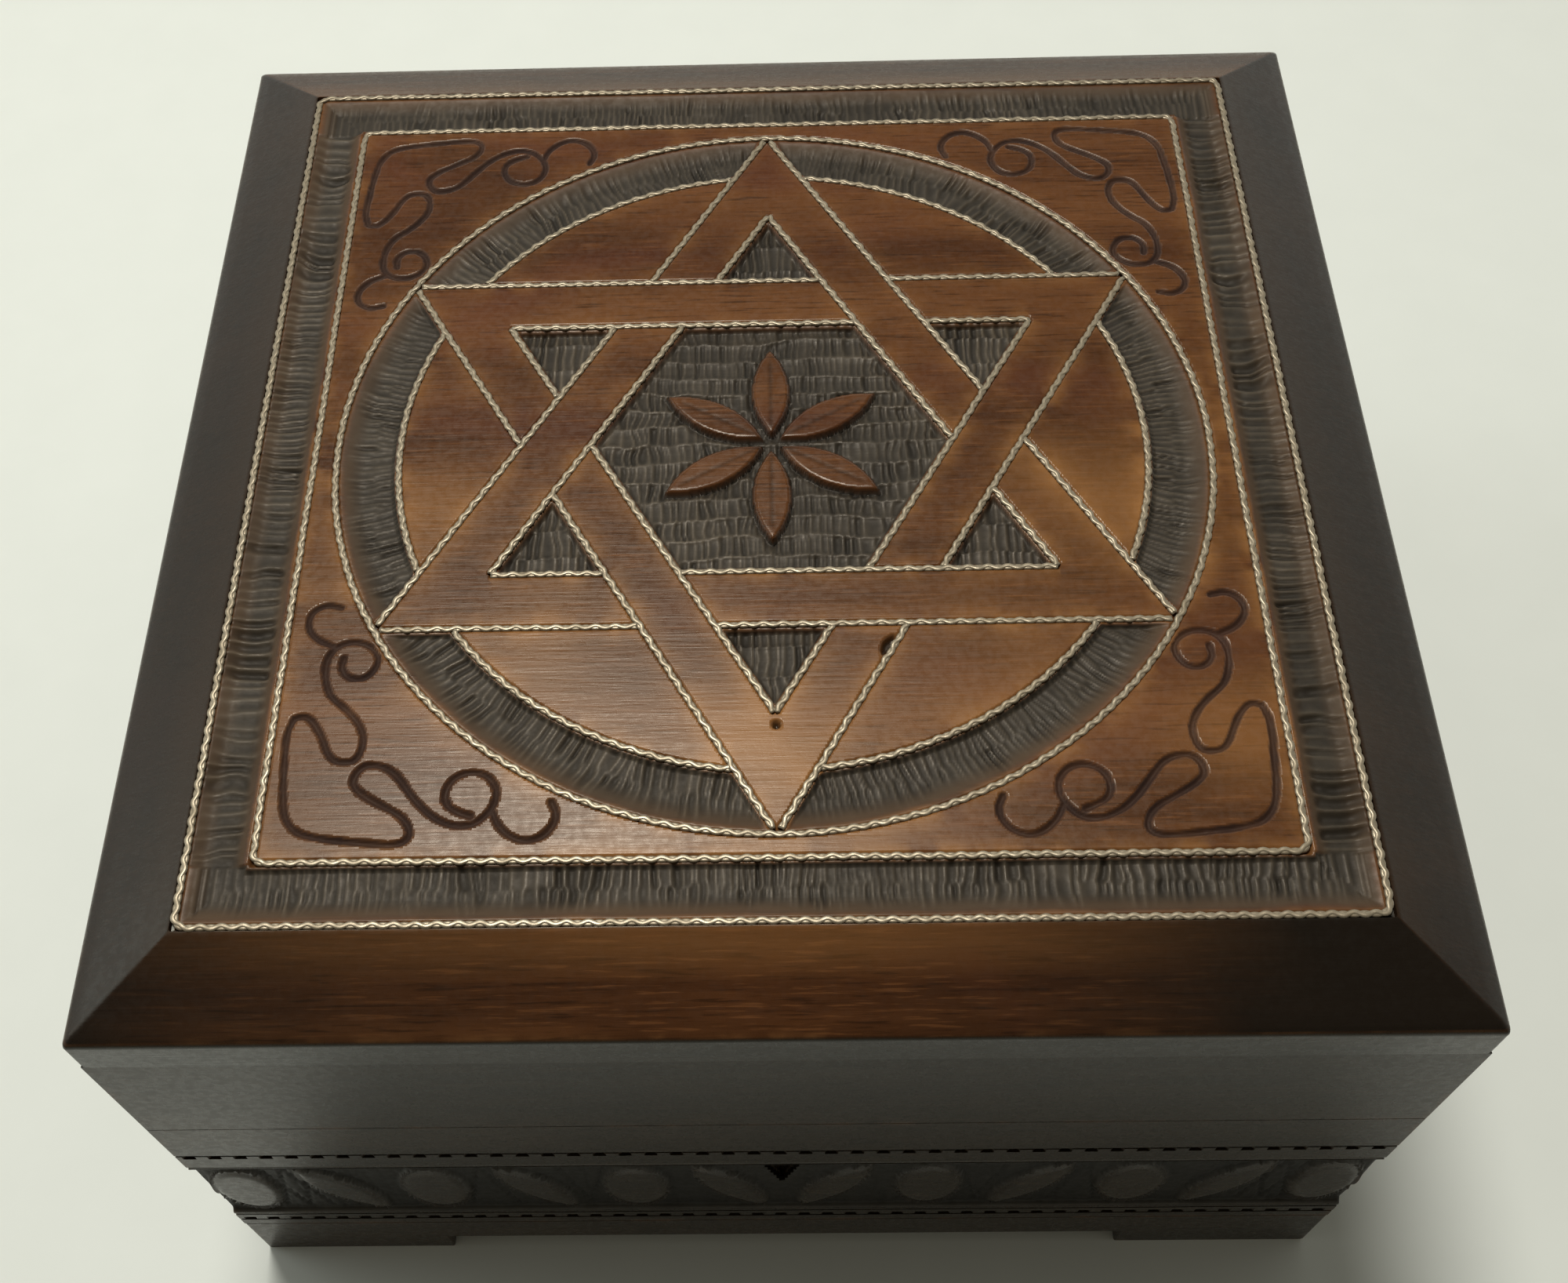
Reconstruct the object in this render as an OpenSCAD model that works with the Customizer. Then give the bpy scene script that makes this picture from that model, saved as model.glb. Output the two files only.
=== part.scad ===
// Square carved puzzle box with a hinged lid, a sliding front panel that hides the keyhole,
// a sliding base strip that hides the key, and a small lock.
// Origin: centre of the box on the floor.  +Z is up, the front of the box faces -Y.

/* [Box] */
// Width and depth of the box over its walls
box_w = 165; // [160:1:175]
// Height from the floor to the carved face of the lid
box_h = 100; // [98:1:108]
// Thickness of the walls, the lid walls and the base strips
wall_t = 13; // [13:0.5:15]
// Thickness of the bottom panel
bottom_t = 6; // [4:0.5:8]

/* [Base] */
// Height of the base strips with their feet
base_h = 15; // [14.5:0.5:15.5]
// Length of each corner foot, measured along the side of the box
foot_l = 30; // [26:1:34]
// Height of the gap under the base strips between the feet
foot_gap_h = 6; // [5:0.5:6.5]

/* [Lid] */
// Height of the seam between the body and the lid
seam_z = 63; // [62.5:0.5:64]
// Open space between the body and the closed lid at the seam
seam_gap = 0.2; // [0.1:0.05:0.3]
// Thickness of the lid board
lid_board_t = 12; // [10:0.5:13]
// Width of the bevel around the lid board
bevel_w = 12; // [10:0.5:12]
// Drop of the bevel from the face to the outer edge
bevel_drop = 5; // [3:0.5:7]
// Largest opening angle of the lid
lid_open_deg = 95; // [90:1:100]

/* [Lid ornament] */
// Half side of the outer wire square
square_outer = 70; // [68:0.5:70]
// Half side of the inner wire square
square_inner = 62; // [60.5:0.5:63]
// Radius of the outer wire circle and of the star points
ring_outer_r = 59; // [57:0.5:59]
// Radius of the inner wire circle
ring_inner_r = 50.5; // [49:0.5:51]
// Width of the bars of the six-pointed star
star_bar_w = 8.25; // [7:0.25:9]
// Depth of the gouged ground below the face of the lid
ground_depth = 1.2; // [0.6:0.1:2]
// Width of the inlaid brass wire
wire_w = 0.9; // [0.7:0.1:1.1]
// Height of the wire above the face of the lid
wire_proud = 0.3; // [0.1:0.1:0.5]
// Depth of the wire grooves
wire_groove = 0.8; // [0.4:0.1:1]
// Length of one petal of the centre rosette
petal_l = 15.2; // [12:0.2:16]
// Greatest width of one petal
petal_w = 5.2; // [4:0.2:5.4]

/* [Carved sides] */
// Lower edge of the carved frieze
frieze_z0 = 20.3; // [20.1:0.1:21]
// Upper edge of the carved frieze
frieze_z1 = 45.5; // [44:0.5:46]
// Height of the incised line above the frieze
line_z = 51; // [50:0.5:53]
// Distance of the lower incised line below the frieze
low_line_drop = 2.7; // [2.4:0.1:3]
// Width of the incised lines
line_w = 0.5; // [0.4:0.1:0.8]
// Depth of the incised lines
line_depth = 0.6; // [0.3:0.1:1]
// Depth of the recess that the frieze is carved in
frieze_depth = 1.5; // [1:0.1:1.8]
// Distance between the chips along the incised lines
chip_pitch = 3.5; // [3:0.5:6]
// Side of the square tool that cuts a chip
chip_side = 1.3; // [1:0.1:1.6]
// Height of a chip
chip_h = 1.2; // [0.8:0.1:1.4]

/* [Sliding pieces] */
// Thickness of the sliding front panel
panel_t = 5; // [4.5:0.5:5]
// Undercut of the dovetailed edges of the front panel
panel_undercut = 2; // [1.5:0.25:2]
// Free space around each sliding piece
slide_gap = 0.15; // [0.1:0.05:0.2]
// Travel of the front panel to the left
panel_travel = 95; // [90:1:100]
// Travel of the front base strip to the left
strip_travel = 60; // [55:1:65]
// Width of the fingernail notch in the front panel
notch_w = 5.5; // [4:0.5:8]
// Height of the fingernail notch
notch_h = 10; // [8:1:12]
// Depth of the fingernail notch
notch_depth = 2.5; // [1:0.5:3]

/* [Hinges] */
// Distance of each hinge from the middle of the back
hinge_x = 45; // [35:1:55]
// Length of a hinge leaf
leaf_l = 30; // [28:1:34]
// Thickness of a hinge leaf
leaf_t = 1.2; // [1:0.1:1.5]
// Outer radius of the hinge knuckles
knuckle_r = 2.5; // [2.2:0.1:2.7]
// Radius of the hinge pin
pin_r = 0.8; // [0.7:0.1:1]

/* [Lock and key] */
// Width of the lock case
lock_w = 44; // [42:1:46]
// Depth of the lock case, front to back, with its cover
lock_d = 6; // [6:0.1:6.2]
// Thickness of the sheet metal of the lock
sheet_t = 1; // [0.8:0.1:1.1]
// Height of the middle of the keyhole
keyhole_z = 37; // [36.5:0.5:37.5]
// Travel of the lock bolt
bolt_travel = 4.5; // [4:0.25:4.5]
// Length of the key from the bow to the tip
key_l = 33; // [31:0.5:33]
// Radius of the key barrel
key_r = 1.6; // [1.3:0.1:1.6]

/* [Hidden] */
$fn = 64;

half = box_w / 2;               // outer face of a wall
inner = half - wall_t;          // inner face of a wall
lid_z0 = seam_z + seam_gap;     // lower edge of the lid walls
board_z0 = box_h - lid_board_t; // underside of the lid board
bottom_z1 = base_h + bottom_t;  // upper face of the bottom panel
snug = 0.05;                    // clearance around pieces that are set into wood or metal
cut = 1;                        // how far a cutting solid runs past the face it cuts
long = 3 * box_w;               // longer than the whole box

wood = [0.36, 0.26, 0.19];
red_wood = [0.45, 0.24, 0.15];
pale_wood = [0.72, 0.58, 0.40];
brass = [0.80, 0.68, 0.42];
steel = [0.62, 0.62, 0.62];

// Star: distance of each bar's two lines from the centre, and the corners of the inner lines
outer_line = ring_outer_r / 2;
inner_line = outer_line - star_bar_w;
inner_corner_r = 2 * inner_line;

// Sliding front panel and its channel
channel_y = -half + panel_t;    // bottom of the channel in the front wall
panel_back_y = channel_y - slide_gap;
peg_r = 1.5;                    // radius of the wooden stop pegs
peg_grip = 5;                   // how deep a stop peg sits in its hole
panel_peg_x = -70;
panel_peg_z = 26;
stop_groove = 1.8;              // depth of the groove that a stop peg runs in

frieze_rim = 0.8;               // plain edge above and below the frieze
low_line_z = frieze_z0 - low_line_drop;          // height of the lower incised line
chip_drop = line_w / 2 + chip_h / 2 - 0.1;       // from an incised line to the middle of its chips

// Front base strip, with its dovetailed tongue
strip_top = base_h - slide_gap;
tongue_y = -inner - 4.5;
tongue_foot = 3.5;              // width of the tongue at its foot
tongue_head = 5;                // width of the tongue at its head
tongue_h = 3;
strip_peg_r = 1.2;
strip_peg_y = -half + 3;

// Key, lying flat in a slot in the inner face of the front base strip
key_x0 = -66;                   // outer edge of the bow
key_y = -inner - 5.3;
key_z = 10.1;
bow_r = 4.6;
bow_hole_r = 2.6;
bow_t = 2.2;
bit_l = 3.5;
bit_reach = 5;
bit_t = 1.4;
key_slot_h = 3.8;

// Hinges: the axis runs along X in the middle of the seam gap
hinge_y = half - 3.5;
hinge_z = seam_z + seam_gap / 2;
leaf_y0 = inner + 1;
knuckles = 5;
knuckle_l = leaf_l / knuckles;
knuckle_end_gap = 0.1;
knuckle_room = 0.3;             // free space around the knuckles
stop_deg = (lid_open_deg + 1) / 2;
screw_head_r = 1.7;
screw_r = 0.8;
screw_head_h = 1;
screw_l = 7;

// Strike plate in the lower edge of the lid's front wall
strike_x = 14;                  // half its length
strike_y = [-half + panel_t + 0.5, -inner - 0.5];

// Lock, let into the inner face of the front wall
lock_z0 = keyhole_z - 9;
lock_z1 = seam_z - leaf_t;      // underside of the selvage, the plate on the wall's upper edge
lock_y0 = -inner - lock_d;      // front face of the case
cover_y0 = -inner - sheet_t;    // front face of the cover
cover_margin = 5;               // how far the cover runs past the case at each side
cavity_y0 = lock_y0 + sheet_t;
staple_y = -inner - 3;          // middle of the staple, front to back
staple_x = 1;                   // half the thickness of the staple
staple_w = 3.2;
staple_hole_w = 1.6;
staple_z0 = seam_z - 9;
bolt_t = 1.2;
bolt_z0 = keyhole_z + 4;
bolt_z1 = seam_z - 11;
nose_z0 = seam_z - 7;
nose_h = 4;
nose_x = -2.5;                  // tip of the bolt when it is unlocked
stud_r = 1.2;
stud_z = (bolt_z0 + bolt_z1) / 2 + 1.5;
stud_x = [-10, 9];
post_r = 0.9;
keyhole_r = 2.4;
keyhole_slot_w = 2.4;
keyhole_slot_h = 7;

// ---------- helpers ----------

// A rectangular block between the limits [from, to] along each axis
module block(x, y, z)
    translate([x[0], y[0], z[0]])
        cube([x[1] - x[0], y[1] - y[0], z[1] - z[0]]);

// A YZ outline drawn along X between x0 and x1
module along_x(x0, x1)
    translate([x0, 0, 0])
        rotate([90, 0, 90])
            linear_extrude(x1 - x0)
                children();

// An XZ outline drawn along Y between y0 and y1
module along_y(y0, y1)
    translate([0, y1, 0])
        rotate([90, 0, 0])
            linear_extrude(y1 - y0)
                children();

// A cylinder along X, starting at the given point
module rod_x(point, r, l)
    translate(point)
        rotate([0, 90, 0])
            cylinder(r = r, h = l);

// A cylinder along +Y, starting at the given point
module rod_y(point, r, l)
    translate(point)
        rotate([-90, 0, 0])
            cylinder(r = r, h = l);

// A countersunk screw: the head's face lies in the XY plane and the shank points down.
// grow widens it all round, for the hole that it sits in.
module screw(l = screw_l, grow = 0) {
    translate([0, 0, -screw_head_h])
        cylinder(r1 = screw_r + grow, r2 = screw_head_r + grow, h = screw_head_h);
    translate([0, 0, -l - grow])
        cylinder(r = screw_r + grow, h = l - screw_head_h + 2 * grow);
}

// An incised line that runs round the outside of the body at height z
module incised_line(z)
    difference() {
        block([-half - cut, half + cut], [-half - cut, half + cut],
              [z - line_w / 2, z + line_w / 2]);
        block([-half + line_depth, half - line_depth], [-half + line_depth, half - line_depth],
              [z - line_w, z + line_w]);
    }

// The two incised lines, above and below the frieze
module incised_lines() {
    incised_line(line_z);
    incised_line(low_line_z);
}

// A row of V-shaped chips in the face y = -half, turned to the side of the box at angle a
module chip_row(a, length, z)
    rotate(a)
        for (x = [-length / 2 + chip_pitch / 2:chip_pitch:length / 2])
            translate([x, -half, z])
                rotate(45)
                    cube([chip_side, chip_side, chip_h], center = true);

// The chips between the incised lines and the frieze on the side of the box at angle a
module carved_bands(a, length) {
    chip_row(a, length, line_z - chip_drop);
    chip_row(a, length, low_line_z + chip_drop);
}

// The recess for the frieze on the side of the box at angle a
module frieze_recess(a)
    rotate(a)
        block([-half - cut, half + cut], [-half - cut, -half + frieze_depth],
              [frieze_z0 + frieze_rim, frieze_z1 - frieze_rim]);

// ---------- walls of the body ----------

// Outline of the dovetailed front panel; grow widens it for the channel
module panel_outline(grow = 0)
    polygon([[-half - (grow > 0 ? cut : 0), frieze_z0 - grow + (grow > 0 ? 0.4 : 0)],
             [-half - (grow > 0 ? cut : 0), frieze_z1 + grow - (grow > 0 ? 0.4 : 0)],
             [-half, frieze_z1 + grow],
             [panel_back_y + grow, frieze_z1 + panel_undercut + grow],
             [panel_back_y + grow, frieze_z0 - panel_undercut - grow],
             [-half, frieze_z0 - grow]]);

// Outline of the tongue on the front base strip; grow widens it for the groove
module tongue_outline(grow = 0)
    translate([tongue_y, strip_top])
        polygon([[-tongue_foot / 2 - grow, grow > 0 ? -cut : -0.5],
                 [-tongue_foot / 2 - grow, 0],
                 [-tongue_head / 2 - grow, tongue_h + grow],
                 [tongue_head / 2 + grow, tongue_h + grow],
                 [tongue_foot / 2 + grow, 0],
                 [tongue_foot / 2 + grow, grow > 0 ? -cut : -0.5]]);

// Keyhole outline in the XZ plane
module keyhole_outline() {
    translate([0, keyhole_z])
        circle(keyhole_r);
    translate([-keyhole_slot_w / 2, keyhole_z - keyhole_slot_h])
        square([keyhole_slot_w, keyhole_slot_h]);
}

// Room in the front wall for the lock: case, cover, selvage and screws
module lock_room() {
    block([-lock_w / 2 - snug, lock_w / 2 + snug], [lock_y0 - snug, -inner + cut],
          [lock_z0 - snug, seam_z + cut]);
    block([-lock_w / 2 - cover_margin - snug, lock_w / 2 + cover_margin + snug],
          [cover_y0 - snug, -inner + cut], [lock_z0 - cover_margin / 2 - snug, seam_z + cut]);
    block([-lock_w / 2 - cover_margin - snug, lock_w / 2 + cover_margin + snug],
          [lock_y0 - 1.5, -inner + cut], [lock_z1 - snug, seam_z + cut]);
    lock_screw_places()
        screw(5, snug);
}

module wall_front()
    color(wood)
        difference() {
            block([-half, half], [-half, -inner], [base_h, seam_z]);
            along_x(-long, long)
                panel_outline(slide_gap);
            along_x(-long, long)
                tongue_outline(slide_gap);
            along_y(-half, -inner)
                keyhole_outline();
            lock_room();
            incised_lines();
            carved_bands(0, box_w);
            rod_y([panel_peg_x, channel_y - cut, panel_peg_z], peg_r + snug, peg_grip + cut + snug);
            translate([0, strip_peg_y, base_h - cut])
                cylinder(r = strip_peg_r + snug, h = tongue_h + cut + snug);
        }

// The V between lid and body behind the hinge axis: its faces stop the open lid
module hinge_v()
    along_x(-long, long)
        polygon([[hinge_y, hinge_z],
                 [half + cut, hinge_z - (half + cut - hinge_y) * tan(stop_deg)],
                 [half + cut, hinge_z + (half + cut - hinge_y) * tan(stop_deg)]]);

// Room for the two leaves and the barrel of each hinge
module hinge_room()
    for (side = [-1, 1]) {
        block([side * hinge_x - leaf_l / 2 - snug, side * hinge_x + leaf_l / 2 + snug],
              [leaf_y0 - snug, hinge_y],
              [seam_z - leaf_t, lid_z0 + leaf_t]);
        rod_x([side * hinge_x - leaf_l / 2 - knuckle_room, hinge_y, hinge_z],
              knuckle_r + knuckle_room, leaf_l + 2 * knuckle_room);
    }

module wall_back()
    color(wood)
        difference() {
            block([-half, half], [inner, half], [base_h, seam_z]);
            hinge_v();
            hinge_room();
            incised_lines();
            carved_bands(180, box_w);
            frieze_recess(180);
            hinge_screw_places_body()
                screw(screw_l, snug);
        }

module side_wall(side)
    color(wood)
        difference() {
            block(side < 0 ? [-half, -inner] : [inner, half], [-inner, inner], [base_h, seam_z]);
            incised_lines();
            carved_bands(side * 90, 2 * inner);
            frieze_recess(side * 90);
        }

module wall_left() side_wall(-1);
module wall_right() side_wall(1);

module bottom_panel()
    color(pale_wood)
        block([-inner, inner], [-inner, inner], [base_h, bottom_z1]);

// ---------- base strips with the corner feet ----------

// The gap under a strip between its feet, for the strip along X or the strip along Y
module foot_gap_x(y)
    block([-half + foot_l, half - foot_l], y, [-cut, foot_gap_h]);

module foot_gap_y(x)
    block(x, [-half + foot_l, half - foot_l], [-cut, foot_gap_h]);

module base_strip_front()
    color(wood)
        difference() {
            union() {
                block([-half, half], [-half, -inner - slide_gap], [0, strip_top]);
                along_x(-half, half)
                    tongue_outline();
            }
            foot_gap_x([-half - cut, -inner + cut]);
            // slot for the key
            block([key_x0 - 0.6, key_x0 + key_l + 0.6], [key_y - bow_r - 0.3, -inner + cut],
                  [key_z - key_slot_h / 2, key_z + key_slot_h / 2]);
            // groove for the stop peg
            block([-strip_peg_r - 0.2, strip_travel + strip_peg_r + 0.2],
                  [strip_peg_y - strip_peg_r - 0.2, strip_peg_y + strip_peg_r + 0.2],
                  [strip_top - stop_groove, base_h + cut / 4]);
        }

module base_strip_back()
    color(wood)
        difference() {
            block([-half, half], [inner, half], [0, base_h]);
            foot_gap_x([inner - cut, half + cut]);
        }

module side_strip(side)
    color(wood)
        difference() {
            block(side < 0 ? [-half, -inner] : [inner, half], [-inner, inner], [0, base_h]);
            foot_gap_y(side < 0 ? [-half - cut, -inner + cut] : [inner - cut, half + cut]);
        }

module base_strip_left() side_strip(-1);
module base_strip_right() side_strip(1);

module strip_stop_peg()
    color(pale_wood)
        translate([0, strip_peg_y, base_h - stop_groove + 0.3])
            cylinder(r = strip_peg_r, h = tongue_h + stop_groove - 0.3);

// ---------- sliding front panel ----------

module front_panel()
    color(wood)
        difference() {
            along_x(-half, half)
                panel_outline();
            frieze_recess(0);
            // fingernail notch, pointed at its lower end
            along_y(-half - cut, -half + notch_depth)
                polygon([[-notch_w / 2, frieze_z1 - 2], [notch_w / 2, frieze_z1 - 2],
                         [0, frieze_z1 - 2 - notch_h]]);
            // groove for the stop peg
            block([panel_peg_x - peg_r - 0.2, panel_peg_x + panel_travel + peg_r + 0.2],
                  [panel_back_y - stop_groove, panel_back_y + cut],
                  [panel_peg_z - peg_r - 0.2, panel_peg_z + peg_r + 0.2]);
        }

module panel_stop_peg()
    color(pale_wood)
        rod_y([panel_peg_x, channel_y - stop_groove + 0.1, panel_peg_z], peg_r,
              peg_grip + stop_groove - 0.1);

// ---------- key ----------

module key()
    color(steel)
        difference() {
            union() {
                rod_x([key_x0 + 2 * bow_r - 0.6, key_y, key_z], key_r, key_l - 2 * bow_r + 0.6);
                translate([key_x0 + bow_r, key_y, key_z - bow_t / 2])
                    cylinder(r = bow_r, h = bow_t);
                block([key_x0 + key_l - bit_l - 0.5, key_x0 + key_l - 0.5],
                      [key_y + key_r / 2, key_y + bit_reach],
                      [key_z - bit_t / 2, key_z + bit_t / 2]);
            }
            translate([key_x0 + bow_r, key_y, key_z - bow_t])
                cylinder(r = bow_hole_r, h = 2 * bow_t);
            rod_x([key_x0 + key_l - 7, key_y, key_z], post_r + 0.1, 7 + cut);
        }

// ---------- ornament of the lid board, as flat outlines ----------

// Triangle with its point up; r is the distance from its centre to a corner
module triangle(r)
    polygon([for (a = [90, 210, 330]) r * [cos(a), sin(a)]]);

// The same triangle, upright or turned over
module star_triangle(r, turned)
    rotate(turned ? 180 : 0)
        triangle(r);

// Halves of the bars that pass over the other triangle
module over_halves(turned, grow)
    for (a = [0, 120, 240])
        rotate(a + (turned ? 0 : 180))
            translate([-ring_outer_r, inner_line - grow])
                square([ring_outer_r, star_bar_w + 2 * grow]);

// Outline of a star triangle with lines of half width hw around the corner radius r,
// broken where the other triangle passes over it
module woven_lines(r, hw)
    for (turned = [false, true])
        difference() {
            star_triangle(r + 2 * hw, turned);
            star_triangle(r - 2 * hw, turned);
            over_halves(!turned, wire_w / 2 + snug);
        }

module square_line(half_side, hw)
    difference() {
        square(2 * (half_side + hw), center = true);
        square(2 * (half_side - hw), center = true);
    }

module ring_line(r, hw)
    difference() {
        circle(r + hw, $fn = 180);
        circle(r - hw, $fn = 180);
    }

module star_outline_2d(hw)
    intersection() {
        woven_lines(ring_outer_r, hw);
        circle(ring_outer_r - wire_w / 2 - snug, $fn = 180);
    }

module ring_inner_2d(hw)
    difference() {
        ring_line(ring_inner_r, hw);
        for (turned = [false, true])
            star_triangle(ring_outer_r + wire_w + 4 * snug, turned);
    }

// One petal along +X: the lens where two circles overlap
module petal() {
    petal_arc = (pow(petal_l / 2, 2) + pow(petal_w / 2, 2)) / petal_w;
    translate([petal_l / 2 + 1.3, 0])
        intersection() {
            translate([0, petal_arc - petal_w / 2])
                circle(petal_arc);
            translate([0, petal_w / 2 - petal_arc])
                circle(petal_arc);
        }
}

module rosette()
    for (a = [30:60:330])
        rotate(a)
            petal();

// Every part of the face that is gouged away: border, ring, star points and hexagon
module ground_2d() {
    edge = wire_w / 2;
    difference() {
        square(2 * (square_outer - edge), center = true);
        square(2 * (square_inner + edge), center = true);
    }
    difference() {
        circle(ring_outer_r - edge, $fn = 180);
        circle(ring_inner_r + edge, $fn = 180);
        for (turned = [false, true])
            star_triangle(ring_outer_r + 2 * edge, turned);
    }
    for (turned = [false, true])
        difference() {
            star_triangle(inner_corner_r - 2 * edge, turned);
            star_triangle(ring_outer_r + 2 * edge, !turned);
        }
    difference() {
        intersection() {
            star_triangle(inner_corner_r - 2 * edge, false);
            star_triangle(inner_corner_r - 2 * edge, true);
        }
        rosette();
    }
}

// Profile of the lid board with a bevel at both edges
module board_profile()
    polygon([[-half, board_z0], [half, board_z0], [half, box_h - bevel_drop],
             [half - bevel_w, box_h], [-half + bevel_w, box_h], [-half, box_h - bevel_drop]]);

module face_cut(depth)
    translate([0, 0, box_h - depth])
        linear_extrude(depth + cut)
            children();

module lid_board()
    color(red_wood)
        difference() {
            intersection() {
                along_x(-half, half)
                    board_profile();
                along_y(-half, half)
                    board_profile();
            }
            face_cut(ground_depth)
                ground_2d();
            face_cut(wire_groove) {
                square_line(square_outer, wire_w / 2 + 2 * snug);
                square_line(square_inner, wire_w / 2 + 2 * snug);
                ring_line(ring_outer_r, wire_w / 2 + 2 * snug);
                ring_inner_2d(wire_w / 2 + 2 * snug);
                woven_lines(ring_outer_r, wire_w / 2 + 2 * snug);
                woven_lines(inner_corner_r, wire_w / 2 + 2 * snug);
            }
        }

// A wire laid in its groove along the given flat outline
module wire()
    color(brass)
        translate([0, 0, box_h - wire_groove])
            linear_extrude(wire_groove + wire_proud)
                children();

module inlay_square_outer() wire() square_line(square_outer, wire_w / 2);
module inlay_square_inner() wire() square_line(square_inner, wire_w / 2);
module inlay_ring_outer() wire() ring_line(ring_outer_r, wire_w / 2);
module inlay_ring_inner() wire() ring_inner_2d(wire_w / 2);
module inlay_star_outline() wire() star_outline_2d(wire_w / 2);
module inlay_star_inner() wire() woven_lines(inner_corner_r, wire_w / 2);

// ---------- walls of the lid ----------

module lid_wall_front()
    color(wood)
        difference() {
            block([-half, half], [-half, -inner], [lid_z0, board_z0]);
            block([-strike_x - snug, strike_x + snug], [strike_y[0] - snug, strike_y[1] + snug],
                  [lid_z0 - cut, lid_z0 + leaf_t]);
            strike_screw_places()
                screw(screw_l, snug);
        }

module lid_wall_back()
    color(wood)
        difference() {
            block([-half, half], [inner, half], [lid_z0, board_z0]);
            hinge_v();
            hinge_room();
            hinge_screw_places_lid()
                screw(screw_l, snug);
        }

module lid_wall_left() color(wood) block([-half, -inner], [-inner, inner], [lid_z0, board_z0]);
module lid_wall_right() color(wood) block([inner, half], [-inner, inner], [lid_z0, board_z0]);

// ---------- strike plate of the lid ----------

module strike_screw_places()
    for (x = [-9, 9])
        translate([x, (strike_y[0] + strike_y[1]) / 2, lid_z0 + snug])
            rotate([180, 0, 0])
                children();

module strike_plate()
    color(brass)
        difference() {
            union() {
                block([-strike_x, strike_x], strike_y, [lid_z0, lid_z0 + leaf_t]);
                block([-staple_x, staple_x], [staple_y - staple_w / 2, staple_y + staple_w / 2],
                      [staple_z0, lid_z0 + leaf_t]);
            }
            block([-staple_x - cut, staple_x + cut],
                  [staple_y - staple_hole_w / 2, staple_y + staple_hole_w / 2],
                  [staple_z0 + 1.5, seam_z - 2]);
            strike_screw_places()
                screw(screw_l, snug);
        }

module strike_screws()
    color(brass)
        strike_screw_places()
            screw();

// ---------- hinges ----------

// Places of the screws in the body leaves and in the lid leaves
module hinge_screw_places_body()
    for (side = [-1, 1], dx = [-10, 0, 10])
        translate([side * hinge_x + dx, leaf_y0 + 3, seam_z - snug])
            children();

module hinge_screw_places_lid()
    for (side = [-1, 1], dx = [-10, 0, 10])
        translate([side * hinge_x + dx, leaf_y0 + 3, lid_z0 + snug])
            rotate([180, 0, 0])
                children();

// One hinge leaf at x.  first is 0 for the leaf with the outer knuckles and 1 for the other.
module leaf(x, z, first, bore_r)
    difference() {
        union() {
            difference() {
                block([x - leaf_l / 2, x + leaf_l / 2], [leaf_y0, hinge_y], z);
                for (k = [1 - first:2:knuckles - 1])
                    rod_x([x - leaf_l / 2 + k * knuckle_l - knuckle_end_gap, hinge_y, hinge_z],
                          knuckle_r + knuckle_room, knuckle_l + 2 * knuckle_end_gap);
            }
            for (k = [first:2:knuckles - 1])
                rod_x([x - leaf_l / 2 + k * knuckle_l + knuckle_end_gap, hinge_y, hinge_z],
                      knuckle_r, knuckle_l - 2 * knuckle_end_gap);
        }
        rod_x([x - leaf_l, hinge_y, hinge_z], bore_r, 2 * leaf_l);
        hinge_screw_places_body()
            screw(screw_l, snug);
        hinge_screw_places_lid()
            screw(screw_l, snug);
    }

module leaf_body(side) color(brass) leaf(side * hinge_x, [seam_z - leaf_t, seam_z], 0, pin_r + snug / 5);
module leaf_lid(side) color(brass) leaf(side * hinge_x, [lid_z0, lid_z0 + leaf_t], 1, pin_r + snug);

module hinge_leaf_body_left() leaf_body(-1);
module hinge_leaf_body_right() leaf_body(1);
module hinge_leaf_lid_left() leaf_lid(-1);
module hinge_leaf_lid_right() leaf_lid(1);

module hinge_pin(side)
    color(steel)
        rod_x([side * hinge_x - leaf_l / 2, hinge_y, hinge_z], pin_r, leaf_l);

module hinge_pin_left() hinge_pin(-1);
module hinge_pin_right() hinge_pin(1);

module hinge_screws_body()
    color(brass)
        hinge_screw_places_body()
            screw();

module hinge_screws_lid()
    color(brass)
        hinge_screw_places_lid()
            screw();

// ---------- lock ----------

module lock_screw_places()
    for (x = [-1, 1], z = [lock_z0 + 1, lock_z1 - 5])
        translate([x * (lock_w / 2 + cover_margin / 2), -inner - snug, z])
            rotate([-90, 0, 0])
                children();

// Tray-shaped case with the selvage across its top
module lock_case()
    color(brass)
        difference() {
            union() {
                block([-lock_w / 2, lock_w / 2], [lock_y0, cover_y0], [lock_z0, lock_z1 + snug]);
                block([-lock_w / 2 - cover_margin, lock_w / 2 + cover_margin],
                      [lock_y0 - 1.4, -inner], [lock_z1, seam_z - snug]);
            }
            block([-lock_w / 2 + sheet_t, lock_w / 2 - sheet_t], [cavity_y0, cover_y0 + cut / 2],
                  [lock_z0 + sheet_t, lock_z1]);
            block([-staple_x - 0.6, staple_x + 0.6],
                  [staple_y - staple_w / 2 - 0.5, staple_y + staple_w / 2 + 0.3],
                  [lock_z1 - cut, seam_z + cut]);
            along_y(lock_y0 - cut, cavity_y0 + cut / 2)
                keyhole_outline();
        }

module lock_cover()
    color(brass)
        difference() {
            block([-lock_w / 2 - cover_margin, lock_w / 2 + cover_margin], [cover_y0, -inner],
                  [lock_z0 - cover_margin / 2, lock_z1]);
            lock_screw_places()
                screw(5, snug);
        }

module lock_key_post()
    color(steel)
        rod_y([0, lock_y0 - 1, keyhole_z], post_r, cover_y0 - lock_y0 + 1);

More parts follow.
